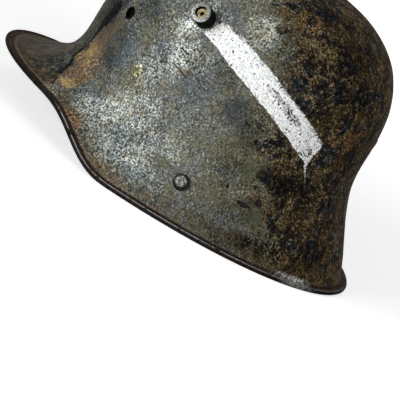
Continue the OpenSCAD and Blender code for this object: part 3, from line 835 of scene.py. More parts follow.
def wall(name, start, end, outer_depth, thick, low, high, corner, steps, wave=0.0, top_square=False):
    """A strip that stands along the liner between two angles, in degrees."""
    turns = np.radians(np.linspace(start, end, steps + 1))
    ways = np.array([liner_out(angle) for angle in turns])
    rows = slab_loop((high - low) / 2, thick, corner, top_square)
    loops = []
    for angle, way in zip(turns, ways):
        base = at(angle, [liner_r(angle, outer_depth + thick / 2), (low + high) / 2])
        loops.append([base + way * u + np.array([0, 0, v]) for u, v in rows])
    loops = np.array(loops)
    if wave:
        push = waves(loops.mean(1), 17, 5.1)[:, None] * wave
        lift = np.clip((loops[:, :, 2] - low) / (high - low), 0, 1)
        loops += (push * (1 - lift))[..., None] * ways[:, None]
    if end - start >= 360:
        loops[-1] = loops[0]
        return clean(laid_grid(name, np.concatenate([loops, loops[:, :1]], 1)))
    return swept(name, loops)


band = wall("steel_liner_band", 0, 360, BAND_BACK, BAND, PIN_Z - BAND_HALF, PIN_Z + BAND_HALF, 0.3, 180)
pins = [fittings[name] for name in ("pin_front_left", "pin_front_right", "pin_rear")]
drill(band, [(place - way * 3.7, way, HOLES["pin"]) for place, way in pins])
fit(band, "liner_band", angle=35)
for name, middle in PADS.items():
    ends = middle - SPAN / 2, middle + SPAN / 2
    base = wall("pad_base_" + name, *ends, LEATHER_BACK, LEATHER, PAD_LOW, FOLD_Z - 0.5, 0.5, 60, 0.3, True)
    fit(base, "pad_" + name)

# %% [markdown]
# ### Pad rivets
# Four rivets hold each pad. One rivet is turned with its washer behind the band, and copies
# of it are set at the places where the leather is pressed against the band.

# %% Set four rivets in each pad
ROOT_HALF, ROOT_AT = (SPAN - SLIT) / 4, (SPAN + SLIT) / 4
shank = [(1.2, -2.0), (1.2, 2.4), (2.9, 2.4), (2.9, 3.2), (0, 3.2)]
pad_rivet = turned("pad_rivet", domed(3.2, -1.2, -2.0, range(90, -1, -10)) + shank, sides=32, closed=False)
for name, middle in PADS.items():
    copies = []
    for k, (root, apart) in enumerate(((-1, -1), (-1, 1), (1, -1), (1, 1))):
        angle = math.radians(middle + root * ROOT_AT + apart * 0.58 * ROOT_HALF)
        item = worn(twin(pad_rivet, "one"), 0.12, 2.0, k + middle)
        copies.append(put(item, at(angle, [liner_r(angle, LEATHER_BACK), PIN_Z]), liner_out(angle)))
    fit(joined(copies, "pad_rivet_set_" + name), "pad_rivets_" + name)
bpy.data.objects.remove(pad_rivet)
print("pad rivets:", 4 * len(PADS))

# %% [markdown]
# ### Tongues
# A tongue is cut from the same leather as its base, so on the real helmet the two are one
# piece that bends at the fold. Here the tongue's mesh starts on top of the base. The grid
# follows the dome that the tongue lies on: each row is a closed loop round the leather, so the
# cut edges are rounded too.

# %% Lay the six tongues on their dome
BEND, LACE_AT, LACE_R = 15.0, 0.87, 2.0


def pad_r(angle, rise):
    return liner_r(angle, LEATHER_BACK + LEATHER / 2) * np.cos(rise) ** (2 / FULLNESS)


def pad_z(rise):
    return FOLD_Z + 0.5 + DOME_H * np.sin(rise) ** (2 / FULLNESS)


def pad_point(angle, rise):
    return at(angle, [pad_r(angle, rise), pad_z(rise)])


def pad_out(angle, rise):
    rise, step = max(rise, 0.02), 0.001
    return unit(np.cross(
        pad_point(angle + step, rise) - pad_point(angle - step, rise),
        pad_point(angle, rise + step) - pad_point(angle, rise - step)
    ))


def tongue_row(middle, v):
    """A closed loop of points round the leather at a height share v of the tongue."""
    share_up, drop = max(v, 0), np.array([0, 0, min(v, 0) * math.radians(REACH) * 60])
    up = share_up * math.radians(REACH)
    root = math.radians(ROOT_HALF) * pad_r(middle, 0)
    tip = 1 if v < 0.8 else math.sqrt(max(0.02, 1 - ((v - 0.8) / 0.2) ** 2))
    half = (root * (1 - share_up) + TIP / 2 * share_up) * tip / pad_r(middle, up)
    loop = []
    for side in (1, -1):
        for w in np.linspace(-side, side, 23):
            angle = middle + w * half
            place = pad_point(angle, up) + drop
            curl = -0.7 * abs(w) ** 3 * share_up + 0.5 * share_up * noise.noise(Vector(place / 19))
            thick = side * LEATHER / 2 * (1 - abs(w) ** 14) ** 0.5
            loop.append(place + pad_out(angle, up) * (thick + curl))
    return loop


TONGUES = {
    "front_left_a": 60 - ROOT_AT, "front_left_b": 60 + ROOT_AT, "front_right_a": -60 + ROOT_AT,
    "front_right_b": -60 - ROOT_AT, "rear_left": 180 - ROOT_AT, "rear_right": 180 + ROOT_AT
}
up_turn = math.radians(REACH)
for name, degrees in TONGUES.items():
    middle = math.radians(degrees)
    tip_rows = 0.8 + 0.2 * np.sin(np.linspace(0.1, np.pi / 2, 12))
    rows = [-1.0 / (60 * up_turn), *np.linspace(0.004, 0.8, 34), *tip_rows]
    tongue = swept("leather_tongue_" + name, [tongue_row(middle, v) for v in rows])
    drill(tongue, [(pad_point(middle, LACE_AT * up_turn), pad_out(middle, LACE_AT * up_turn), LACE_R)])
    smooth(tongue, 50)
    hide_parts("tongue_" + name)
    foot = pad_point(middle, 0.03)
    start = np.array([foot[0], foot[1], FOLD_Z - 0.5])
    end = start + unit(pad_point(middle, 0.30) - foot) * BEND
    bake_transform(tongue)
print("tongues:", len(TONGUES), "with", len(tongue.data.polygons), "faces in the last")

# %% [markdown]
# ### Cushions
# Behind each pair of tongues stands a linen bag stuffed with horsehair. A bag swells between
# its seams, so it starts as a slightly slim pillow in the room behind the leather, and cloth
# under pressure rounds and creases it. How far a point may move is capped, which keeps it
# clear of the leather and the steel. The seam goes on afterwards, as a sewn cord of its own.

# %% Stuff the three cushions
SLIM, VOXEL, PRESSURE, FRAMES, CAP = 0.04, 0.0024, 4, 20, 0.0012


def skin_lean(angle, z):
    step = 0.002
    around = at(angle + step, [dome_r(angle + step, z), z]) - at(angle - step, [dome_r(angle - step, z), z])
    rise = at(angle, [dome_r(angle, z + 0.05), z + 0.05]) - at(angle, [dome_r(angle, z - 0.05), z - 0.05])
    way = np.cross(around, rise)
    return math.sqrt(1 - (way[2] / np.linalg.norm(way)) ** 2)


def cushion_point(middle, u, v, swell, slim=0.0):
    """A point of the bag: u runs across it, v up it, swell from the leather (0) to the steel (1)."""
    half = math.radians(74) / 2 * (1 - 0.05 * math.sin(math.pi * v))
    angle = middle + u * half
    z = FOLD_Z + 1.0 + 34 * v * (1 - 0.07 * (1 - u * u))
    rise = math.asin(((z - FOLD_Z - 0.5) / DOME_H) ** (FULLNESS / 2))
    tilt = pad_out(angle, rise)[2]
    lean = math.sqrt(1 - tilt * tilt)
    near = pad_r(angle, rise) + (LEATHER / 2 + 0.5) / lean
    room = dome_r(angle, z) - (SHEET + 1.7) / skin_lean(angle, z) - near
    form = math.sqrt(max(0, 1 - u ** 4)) * max(0, math.sin(math.pi * v)) ** 0.5
    thick = min(0.94 * room, 12 / lean) * form
    return at(angle, [near + (slim + (1 - 2 * slim) * swell) * thick, z])


def stuffed(name, middle):
    loops = []
    for u in np.linspace(-0.985, 0.985, 45):
        loop = [cushion_point(middle, u, v, 1, SLIM) for v in np.linspace(0.015, 0.985, 17)]
        loops.append(loop + [cushion_point(middle, u, v, 0, SLIM) for v in np.linspace(0.985, 0.015, 17)])
    bag = swept(name, loops)
    pick(bag)
    remesh = bag.modifiers.new("voxels", "REMESH")
    remesh.mode, remesh.voxel_size = "VOXEL", VOXEL
    bpy.ops.object.modifier_apply(modifier=remesh.name)
    rest = np.array([v.co for v in bag.data.vertices])
    cloth = bag.modifiers.new("cloth", "CLOTH")
    cloth.settings.use_pressure = True
    cloth.settings.uniform_pressure_force = PRESSURE
    cloth.settings.effector_weights.gravity = 0
    cloth.settings.shrink_min = -0.03
    cloth.point_cache.frame_end = FRAMES
    scene = bpy.context.scene
    for step in range(1, FRAMES + 1):
        scene.frame_set(step)
    swollen = bag.evaluated_get(bpy.context.evaluated_depsgraph_get())
    moved = np.array([v.co for v in swollen.data.vertices]) - rest
    bag.modifiers.remove(cloth)
    scene.frame_set(1)
    far = np.linalg.norm(moved, axis=1)[:, None]
    moved *= np.minimum(1, CAP / np.maximum(far, 1e-9))
    bag.data.vertices.foreach_set("co", (rest + moved).astype(np.float32).ravel())
    bag.data.update()
    finer = bag.modifiers.new("finer", "SUBSURF")
    finer.levels = finer.render_levels = 1
    pick(bag)
    bpy.ops.object.modifier_apply(modifier=finer.name)
    print(name, "moved up to", round(float(far.max()) * 1000, 2), "mm, capped at", CAP * 1000)
    return bag


cushions = {}
for name, degrees in PADS.items():
    middle = math.radians(degrees)
    bag = stuffed("cushion_bag_" + name, middle)
    seam = [cushion_point(middle, u, 0.99, 0.5) for u in np.linspace(-0.96, 0.96, 40)]
    loops = []
    for k, point in enumerate(seam):
        way = unit(seam[min(k + 1, len(seam) - 1)] - seam[max(k - 1, 0)])
        side = np.cross(way, [0, 0, 1.0])
        lift = np.cross(side, way)
        size = 0.75 + 0.12 * math.sin(k * 2.4)
        turns = np.linspace(0, 2 * np.pi, 9)[:-1]
        loops.append([point + size * (math.cos(a) * side + math.sin(a) * lift) for a in turns])
    cushions[name] = joined([bag, swept("seam", loops)], "cushion_bag_" + name)
    fit(cushions[name], "cushion_" + name, angle=60)
print("cushions:", [len(item.data.polygons) for item in cushions.values()], "faces")

# %% [markdown]
# ## Finishes
# Every finish is worked out from the place on the piece, in millimetres, so its grain has a
# real size and looks the same from all sides.

# %% [markdown]
# ### Old field paint
# The shell's paint has wrinkled over pits, gone blue-grey and olive on the front half, and
# worn through to black and brown at the rear, with rust in the crease of the visor. A brushed
# white bar crosses the left side. Each coat is laid over the ones before it through a mask.
# The masks are soft noise at several sizes, patches at places read off the helmet, and the
# distance to the rim.

# %% Make the masks that the coats share
f = Finish("old_field_paint")
x, y, z = f.part(0), f.part(1), f.part(2)
both, both_x = f.mirrored(), x.size()
rim, within = f.kept("to_rim"), f.kept("within")
outside, left = 1 - within, f.step(x, 0, 5)
elsewhere = f.vector("ADD", f.here, (410.0, 70.0, 90.0))
broad, cloud = f.grain(30, 2.0, 0.5), f.grain(20, 3.0, 0.55, at=elsewhere)
patch, mottle = f.grain(12, 4.0, 0.62, warp=0.3), f.grain(9, 4.0, 0.6, at=elsewhere)
blotch, stain = f.grain(6.5, 3.0, 0.6), f.grain(5.5, 3.0, 0.6, at=elsewhere)
wrinkle, speck = f.grain(1.25, 2.5, 0.6, warp=0.5), f.grain(3.4, 3.0, 0.6, at=elsewhere)
ragged = (f.grain(4.5, 4.0, 0.7) - 0.5) * 1.5
slant = ((z - 90) * 0.32 + f.step(z, 128, 158) * 12 - f.step(z, 50, 14) * 16) * f.step(y, -45, 0)
wander = (f.grain(58, 2.0, 0.5) - 0.5) * 170 * f.step(x, 34, 4)
place_y = y + slant + wander + (broad - 0.5) * 40 + (patch - 0.5) * 14
front = f.step(place_y, 34, -14)
rear = f.step(place_y, 12, 56)


def patches(places, edge=ragged, soft=0.5):
    return union(f.near(place, edge, soft, both) for place in places)


print("noise, sides and patches are ready")

# %% [markdown]
# ### Weathered coats
# A ramp along the helmet gives the ground colour, olive in front and brown behind, and coats
# of khaki, blue and brown break it up. Pale grey patches on the front half are painted sheen,
# where the key lamp's glare falls. Each patch is a place and a reach along x, y and z, in
# millimetres, and noise tears its edge.

# %% Lay the weathered coats
f.colour = f.node("ShaderNodeValToRGB", {"stops": [((at_y + 120) / 240, tone) for at_y, tone in (
    (-112, (0.044, 0.044, 0.037)), (-84, (0.050, 0.056, 0.053)), (-58, (0.120, 0.130, 0.120)),
    (-28, (0.122, 0.131, 0.118)), (4, (0.128, 0.130, 0.106)), (26, (0.098, 0.096, 0.068)),
    (50, (0.048, 0.038, 0.020)), (112, (0.030, 0.020, 0.010))
)]}, {0: (place_y + 120) / 240})
# Pale grey patches on the front half: painted sheen where the key lamp's glare falls.
pale = patches([
    (85.4, -51, 45, 18, 19, 16), (82, -61, 43, 11, 11, 10), (87.5, -42, 99, 15, 12, 13),
    (84, -48, 109, 11, 9, 10), (96, -33, 25, 11, 11, 8), (88, -42, 58, 13, 12, 10),
    (89.5, -2.5, 138, 11, 11, 10), (86, -35, 128, 12, 12, 9), (79, -76, 33, 9, 9, 8)
], ragged * 0.5, 1.2)
f.coat(pale * 0.62, (0.27, 0.29, 0.27))
khaki = f.step(blotch, 0.53, 0.61) * (1 - rear * 0.6)
f.coat(khaki * 0.45, (0.155, 0.132, 0.078))
bluish = f.step(stain, 0.54, 0.62) * (1 - rear * 0.7)
f.coat(bluish * 0.45, (0.112, 0.145, 0.160))
olive = patches([
    (79, -60, 62, 12, 10, 8), (97, 20, 60, 12, 12, 10), (98, 22, 32, 12, 14, 10),
    (65, -79, 50, 8, 8, 9), (90, -24, 121, 12, 10, 9), (74.8, -64.6, 98, 8, 6.5, 9)
], ragged * 0.6, 0.9) | f.step(f.grain(16, 3.0, 0.55), 0.56, 0.68)
f.coat(olive * 0.6, f.mix(rear, (0.105, 0.100, 0.062), (0.058, 0.052, 0.028)))
blue = f.step(cloud + (patch - 0.5) * 0.3, 0.58, 0.72) | patches([
    (94.8, -19.1, 86.5, 12, 11, 9), (97, 11, 83.2, 12, 9, 11), (83.1, -51.6, 92.7, 12, 7, 7),
    (69.5, -79, 43.2, 7, 5, 5), (101.7, -25.7, 15.8, 9, 16, 5), (92.6, 29.8, 121.4, 14, 12, 14),
    (90, -46, 30, 9, 9, 6), (69, -72, 78, 9, 7, 14), (97, 11.6, 79.7, 8, 7, 6),
    (84, -26, 135, 8, 8, 7)
], ragged * 0.7, 0.9)
f.coat(blue * 0.6, f.mix(front, (0.026, 0.032, 0.038), (0.082, 0.100, 0.112)))
brown = f.step(mottle + rear * 0.14, 0.50, 0.62)
f.coat(brown * (0.30 + rear * 0.5), f.mix(rear, (0.090, 0.072, 0.046), (0.074, 0.052, 0.023)))
print("nodes so far:", len(f.tree.nodes))

# %% [markdown]
# ### Soot, rust and chips
# Where the paint is gone the sheet is nearly black, with rust beside it. Pits are small, dark
# and crowded at the rear. A black line of painted shade marks the fold between the visor and
# the bowl.

# %% Lay the dark wear
black = f.step(patch + rear * 0.14 - 0.06 - front * 0.10, 0.55, 0.60) | patches([
    (58.9, 32, 164, 12, 8, 6), (62.2, 60.1, 152.4, 9, 9, 8), (86.5, 49, 124, 8, 7, 7),
    (78, 62, 126, 9, 9, 8), (82.5, 66.5, 60, 8, 9, 8), (54.3, 100.1, 55.2, 7, 7, 12),
    (68.9, 103.6, 23.6, 8, 10, 10), (77.4, 75.2, 59.1, 7, 8, 9), (86, 60.3, 57.1, 10, 12, 9),
    (89.8, 50.8, 58.8, 9, 9, 7), (90.5, 44.3, 106.7, 9, 9, 9), (85, 57.7, 107.3, 9, 9, 14),
    (69.1, 57.6, 147.4, 11, 11, 9), (63.2, 78.6, 133.1, 11, 9, 11), (80.2, 86.3, 26.2, 10, 10, 9),
    (67.5, 106, 20.1, 10, 8, 8), (91.3, 35.5, 120.8, 9, 6, 6), (80, 84, 50, 10, 8, 12),
    (55, -105, 37, 9, 7, 6)
])
chilly = patches([(46, -102.3, 41.5, 15, 8, 9), (30, -100.5, 53, 8, 8, 7)], ragged, 0.8)
f.coat(chilly * 0.85, f.tones(speck, 0.46, 0.62, (0.016, 0.021, 0.022), (0.060, 0.066, 0.056)))
brow = f.step(both_x + ragged * 5, 44, 36) * f.step(y, -76, -86) * f.step(z + ragged * 4, 44, 54)
f.coat(brow * outside * 0.85, f.tones(mottle, 0.40, 0.60, (0.013, 0.016, 0.014), (0.048, 0.046, 0.030)))
deep = f.tones(broad, 0.44, 0.54, (0.020, 0.016, 0.010), (0.012, 0.018, 0.024))
f.coat(black * 0.94, f.tones(speck, 0.42, 0.62, (0.0030, 0.0042, 0.0065), deep))
fibres = (f.grain(1.6, 3.0, 0.7) - 0.5) * 1.4
# A black stroke of painted shade down the fold between the visor and the bowl, stronger on the left side.
painted_crease_shade = f.line([
    (43.5, -91.8, 95, 5.4), (40.5, -93.4, 81, 4.4), (38.6, -94.3, 73, 2), (37.2, -94.9, 62.1, 1.2),
    (32.6, -98.8, 54, 1.5), (33, -100.6, 49.3, 1.4), (42, -99.8, 45.5, 1.3), (51.6, -100.9, 40.3, 1.3),
    (64.9, -102.4, 34.5, 1)
], ragged * 1.2 + fibres, 0.4, both)
f.coat(painted_crease_shade * (0.25 + left * 0.71), (0.0030, 0.0030, 0.0032))
rust = f.step(f.grain(6, 5.0, 0.72) + rear * 0.10, 0.60, 0.74) * (0.25 + rear * 0.75) | patches([
    (64, 38.6, 159.6, 9, 8, 5), (61, 63.5, 150.9, 8, 9, 6), (55.7, 78.1, 143, 8, 8, 8),
    (51.4, 91.3, 126.3, 8, 6, 9), (83.9, 60.4, 99.3, 8, 10, 9), (88.2, 53.6, 65.6, 7, 8, 6),
    (75.4, 84.8, 40.1, 9, 9, 8), (75.3, 103.2, 10.4, 9, 9, 5), (62.5, 88.1, 86.9, 8, 6, 9),
    (92.7, 52.4, 37.5, 7, 8, 7), (99.1, 53.6, 13.1, 7, 9, 5), (54.7, 54.3, 159.7, 6, 6, 4)
]) * 0.75
rusty = f.tones(f.grain(2.6, 3.0, 0.6), 0.36, 0.62, (0.018, 0.012, 0.006), (0.090, 0.058, 0.025))
f.coat(rust * 0.70, rusty)
khaki_green = patches([
    (94.4, 36.8, 55.5, 5, 6, 5.5), (93.8, 55, 30, 6, 8, 6.5), (99, -16, 32, 5, 6, 4)
], ragged * 0.7, 0.5)
f.coat(khaki_green * 0.8, (0.082, 0.088, 0.056))
chips = patches([(95.7, 45.3, 34.2, 3, 5, 1.8), (92.2, 53.6, 39, 2.5, 3, 2.5)], ragged * 1.2, 0.4)
f.coat(chips * 0.9, (0.010, 0.011, 0.012))
gritty = f.step(speck + (wrinkle - 0.5) * 0.6, 0.63, 0.68) * rear
f.coat(gritty * 0.45, (0.120, 0.100, 0.060))
bald = f.step(f.grain(7.5, 3.0, 0.55, warp=0.4), 0.50, 0.58) * rear * (1 - black)
f.coat(bald * 0.75, f.tones(broad, 0.44, 0.58, (0.056, 0.045, 0.025), (0.074, 0.038, 0.015)))
bare = patches([(89, -77.6, 22.3, 6, 5.5, 5), (85, -82, 25, 6, 5, 4)], ragged, 0.8)
f.coat(bare * 0.7, (0.170, 0.095, 0.042))
tan = patches([(99.7, -49.7, 6.8, 7, 10, 5), (103, -36, 4, 7, 11, 4)], ragged, 0.9)
f.coat(tan * 0.6, (0.165, 0.140, 0.090))
print("nodes so far:", len(f.tree.nodes))

# %% [markdown]
# ### The rusty crease
# Rust has run down the crease behind the visor on the left side. Strokes follow it, each
# point with half the stroke's width, and swirling noise mixes brown, ochre and grey.

# %% Fill the crease with rust
torn = ragged + (f.grain(2.4, 4.0, 0.75) - 0.5) * 1.6
pits = f.step(wrinkle + (stain - 0.5) * 0.6, 0.41, 0.375)
pitted = rear | f.near((84, 80, 20, 20, 30, 12), ragged, 1.0, both)
f.coat(pits * (0.12 + pitted * 0.88) * 0.85, (0.0030, 0.0032, 0.0032))
sprinkled = patches([
    (97.5, 58.5, 13, 7, 9, 4.5), (92.7, 72.2, 14.5, 8, 10, 5.5), (86, 84.5, 15.5, 8, 9, 6.5),
    (78.5, 96, 17, 8, 8, 5.5)
], ragged * 1.3, 0.9) * f.step(wrinkle + (speck - 0.5) * 0.5, 0.58, 0.52)
f.coat(sprinkled * 0.88, (0.0034, 0.0036, 0.0038))
rubbed = patches([
    (50.6, 101, 64, 5, 5, 12), (40.5, 111.5, 48, 6, 6, 12), (38.5, 119.5, 33, 6, 7, 11)
], ragged, 0.9)
f.coat(rubbed * 0.45, (0.088, 0.070, 0.050))
crease = left * union(f.line(places, torn, 0.3) for places in (
    [(55.5, -84, 91.5, 2.2), (53.3, -85.8, 85.5, 4.6), (51.3, -87.2, 78.7, 6.2), (48, -89, 72.8, 8),
     (47, -89.8, 60.5, 11), (51, -89.3, 54, 11.6), (58.5, -91.5, 44.5, 9.4), (65, -95.6, 37.3, 6.4)],
    [(44, -93, 55, 7), (39, -97.2, 51, 4.2)], [(54, -95, 43, 6), (60, -99, 38.5, 4)]
))
swirl = f.grain(4.2, 4.0, 0.62, warp=1.2)
ochre = f.tones(swirl, 0.38, 0.58, (0.058, 0.037, 0.021), (0.215, 0.140, 0.068))
ochre = f.mix(f.step(stain, 0.46, 0.54) * 0.8, ochre, (0.098, 0.078, 0.060))
ochre = f.mix(f.step(z + ragged * 3, 60, 74) * 0.85, ochre, (0.098, 0.080, 0.057))
ochre = f.mix(f.near((59, -81.5, 59, 8, 7, 8), ragged, 0.8) * 0.8, ochre, (0.078, 0.066, 0.055))
lime = patches([(67, -93.5, 37.4, 7, 5, 5), (44.5, -91.2, 60, 5, 5, 6)], ragged * 0.7, 1.0)
ochre = f.mix(lime * 0.6, ochre, (0.280, 0.205, 0.075))
bright = f.step(f.grain(1.8, 3.0, 0.6, warp=0.8), 0.58, 0.63) * f.step(z, 70, 60)
ochre = f.mix(bright * 0.8, ochre, (0.50, 0.38, 0.23))
gaps = f.step(swirl + (wrinkle - 0.5) * 0.5, 0.36, 0.30)
ochre = f.mix(gaps * 0.7, ochre, (0.022, 0.018, 0.014))
f.coat(crease * 0.95, ochre)
spot = f.near((78.8, -59.1, 71.3, 4.6, 3.4, 4.6), ragged * 0.8) * left
f.coat(spot * 0.62, f.tones(speck, 0.46, 0.58, (0.17, 0.135, 0.050), (0.40, 0.39, 0.24)))
print("nodes so far:", len(f.tree.nodes))

# %% [markdown]
# ### The visor's brim
# The brim is worn in lines that run outwards, so its noise is stretched that way, and its
# upper end behind the fold is dark.

# %% Wear the brim
visor = f.step(y, -101, -111) * outside
fan = x.maths("ARCTAN2", x, 6.0 - y)
lines = f.grain(0.024, 3.0, 0.65, at=f.combined(fan, rim * 0.0012, 0.0))
shade = f.step(both_x * 0.9 + y + ragged * 5, -98, -80)
brim = f.tones(mottle, 0.40, 0.64, (0.044, 0.037, 0.028), (0.092, 0.078, 0.063))
brim = f.mix(f.step(lines, 0.52, 0.38) * (0.3 + f.step(rim, 22, 9) * 0.6), brim, (0.020, 0.016, 0.012))
brim = f.mix(f.near((27.5, -127, 34, 3.5, 3.5, 3), ragged, 0.8, both) * 0.6, brim, (0.200, 0.110, 0.045))
dark = f.tones(speck, 0.44, 0.60, (0.011, 0.013, 0.012), (0.070, 0.066, 0.044))
brim = f.mix(shade * 0.85, brim, dark)
f.coat(visor * 0.88, brim)
print("nodes so far:", len(f.tree.nodes))

# %% [markdown]
# ### The white bar
# The bar runs down the left side along a shallow curve. It was brushed on, so it has torn
# ends, hair lines along it, flecks that fell off and one thin drip. Two numbers describe a
# place on it: how far it lies across the bar and how far along.

# %% Brush on the white bar
across = z - (123.4 - (y + 31) * 0.2207 - (y + 31) * (y + 31) * 0.00167)
along = y + across * 0.42
wide = 7.0 + f.step(y, -33, -4) * 2.7
brush = (f.grain(2.4, 3.0, 0.65) - 0.5) * 2.4 + (f.grain(11, 2.0) - 0.5) * 2.2
ends = f.step(y - across * 0.488 + brush, -31.6, -30.8) * f.step(y - across * 0.104 + brush, 70.2, 69.2)
bar = f.step(across.size() + brush, wide + 0.35, wide - 0.35) * ends
worn_bar = union(f.line(places, ragged * 0.5, 0.9) for places in (
    [(95.6, 20, 109.5, 2), (93, 36, 103.5, 3.4), (89.5, 48, 97.5, 2.4)],
    [(86.5, 58, 80, 1.5), (82.5, 66, 84, 3)]
))
streaks = f.combined(along * 0.16, across * 1.1, 4.0)
streak, hair = f.grain(1.1, 3.0, 0.65, at=streaks), f.grain(2.0, 3.0, 0.7, at=streaks)
flecks = f.step(f.grain(1.7, 3.0, 0.65) - worn_bar * 0.06 - f.step(y, 30, 72) * 0.012, 0.372, 0.392)
scratch = f.step(streak - worn_bar * 0.15 - f.step(y, 40, 72) * 0.03, 0.26, 0.40)
thin = 1 - f.step(across + brush, wide - 3.0, wide) * f.step(hair, 0.60, 0.46) * 0.8
drip = f.line([(80.1, 68.2, 74.6, 1.1), (78.4, 71.4, 69.4, 0.35)], brush * 0.1, 0.4)
drip = drip | f.line([(79.4, 69.4, 72.6, 0.4), (77, 74, 64.8, 0.28)], None, 0.6) * 0.5
bar = bar * left * outside
f.coat(bar * 0.9, (0.016, 0.017, 0.017))
bar = (bar | drip * left * 0.8) * flecks * (0.3 + scratch * 0.7) * thin
whites = f.tones(wrinkle, 0.36, 0.56, (0.66, 0.70, 0.73), (0.93, 0.93, 0.90))
whites = f.mix(f.step(hair, 0.56, 0.70) * 0.4, whites, (0.50, 0.56, 0.60))
f.coat(bar * 0.97, whites)
print("bar:", len(f.tree.nodes), "nodes so far")

# %% [markdown]
# ### Round the fittings
# White paint was splashed round the foot of the lug. The wall of the empty pin hole and a thin
# ring round it are painted near black as painted shade, with a rusty lip outside that, and some
# short cracks run near it.

# %% Mark the fittings and the cracks
far = f.from_axis(*fittings["lug_left"])[1]
foot = f.step((far - 8.4).size() + (f.grain(3.0, 3.0) - 0.5) * 2.6, 0.9, 0.3) * f.step(z, 120.5, 117.5)
splash = f.near((84, -46, 116.6, 2.6, 2.6, 2.6), ragged, 0.3) | foot * 0.6
f.coat(splash * 0.7 * outside * left, (0.58, 0.60, 0.58))
far = f.from_axis(*fittings["pin_front_left"], both)[1]
# The wall of the empty pin hole and a thin ring round it are painted near black: painted shade.
hole = f.step(far + ragged * 0.4, 4.7, 4.2)
f.coat(hole, (0.003, 0.003, 0.003))
slit = f.line([(57.6, -82.6, 95.2, 1.6), (56, -84, 93, 0.9)])
f.coat(slit * 0.9, (0.004, 0.003, 0.003))
lip = f.step((far - 5.6).size() + ragged, 1.0, 0.4)
f.coat(lip * 0.5, (0.115, 0.095, 0.090))
cracks = union(f.line(places, ragged * 0.35, 0.4) for places in (
    [(87.8, -41.9, 89.9, 0.7), (92.2, -29.7, 86.4, 0.5)],
    [(84.6, -49, 85.6, 0.8), (86.3, -45.5, 87.9, 0.5)],
    [(87.5, -41.8, 101, 0.6), (89.6, -36.5, 99.8, 0.7)],
    [(95.5, 10, 88.5, 0.5), (95.5, 13.6, 86, 0.6)]
))
f.coat(cracks * 0.85, (0.014, 0.014, 0.015))
print("nodes so far:", len(f.tree.nodes))

# %% [markdown]
# ### Rim and lining
# The distance to the rim gives the dark hem with a painted highlight along the top of its roll,
# a dark line of painted shade in the groove above it, a painted highlight along its ridge and
# the rust that climbs from it. A pale streak on the lip at the rear is a painted highlight too.
# The inside has a coat of its own, grey with rust spots.

# %% Finish the rim and the inside
hem = f.step(rim + (patch - 0.5) * 1.2, 1.9, 0.9) * outside
# A thin lavender line along the top of the rolled hem is a painted highlight, kept to the skirt and weaker
# at the rear.
edge = f.step(rim, -2.6, -1.7) * f.step(rim, 0.4, -0.4) * f.step(f.grain(5.0, 3.0, 0.6), 0.36, 0.52)
edge = edge * outside * f.step(y, -98, -84) * (1 - rear * 0.7)
# A dark line of painted shade in the groove above the hem.
painted_groove_shade = f.step(rim, 3.6, 2.8) * (1 - f.step(rim, 1.6, 0.8)) * outside
# A lighter line along the ridge above the groove is a painted highlight, weaker towards the rear.
painted_ridge_highlight = f.step(rim + (patch - 0.5) * 1.2, 6.2, 4.6) * (1 - f.step(rim, 4.0, 3.2)) * outside
low = f.step(rim + (mottle - 0.5) * 34, 20, 7) * outside
rusts = f.tones(f.grain(3.8, 3.0), 0.40, 0.66, (0.026, 0.021, 0.013), (0.110, 0.074, 0.032))
f.coat(low * 0.5, rusts)
f.coat(painted_ridge_highlight * (0.5 - f.step(y, -20, 30) * 0.35), (0.150, 0.122, 0.092))
f.coat(painted_groove_shade * 0.85, (0.008, 0.005, 0.004))
hems = f.tones(f.grain(3.6, 3.0), 0.40, 0.62, (0.018, 0.009, 0.006), (0.085, 0.043, 0.026))
f.coat(hem * 0.9, f.tones(rim, -2.0, -0.6, (0.006, 0.005, 0.005), hems))
f.coat(edge * 0.85, (0.50, 0.46, 0.50))
# A pale streak on the lip at the rear of the left side is a painted highlight.
painted_lip_highlight = f.near((80, 103, 4.4, 15, 16, 6), ragged, 0.9) * f.step(rim, 7.0, 4.0) * outside
f.coat(painted_lip_highlight * (0.3 + f.step(speck, 0.44, 0.56) * 0.7) * 0.6, (0.36, 0.36, 0.34))

lining = f.tones(patch, 0.42, 0.62, (0.060, 0.052, 0.040), (0.105, 0.098, 0.080))
lining = f.tones(f.grain(7, 5.0, 0.7), 0.56, 0.66, lining, (0.12, 0.052, 0.022))
f.coat(within, lining)
# The pin hole's painted shade again, laid over the inside's coat.
f.coat(hole, (0.003, 0.003, 0.003))
print("nodes so far:", len(f.tree.nodes))

# %% [markdown]
# ### Brightness and gloss
# Fine wrinkles lift and lower the brightness, most where the paint is rough, in the lit patches
# and at the rear, and least where it is calm. In the lit patches their light flecks are painted
# glints as well as the paint's grain. Two sets of patches paint light and shade onto broad areas:
# painted light where the key lamp falls hardest and painted shade where less light falls. Both
# are counted in stops, and each stop doubles or halves the brightness. Roughness and bump follow
# the same masks.

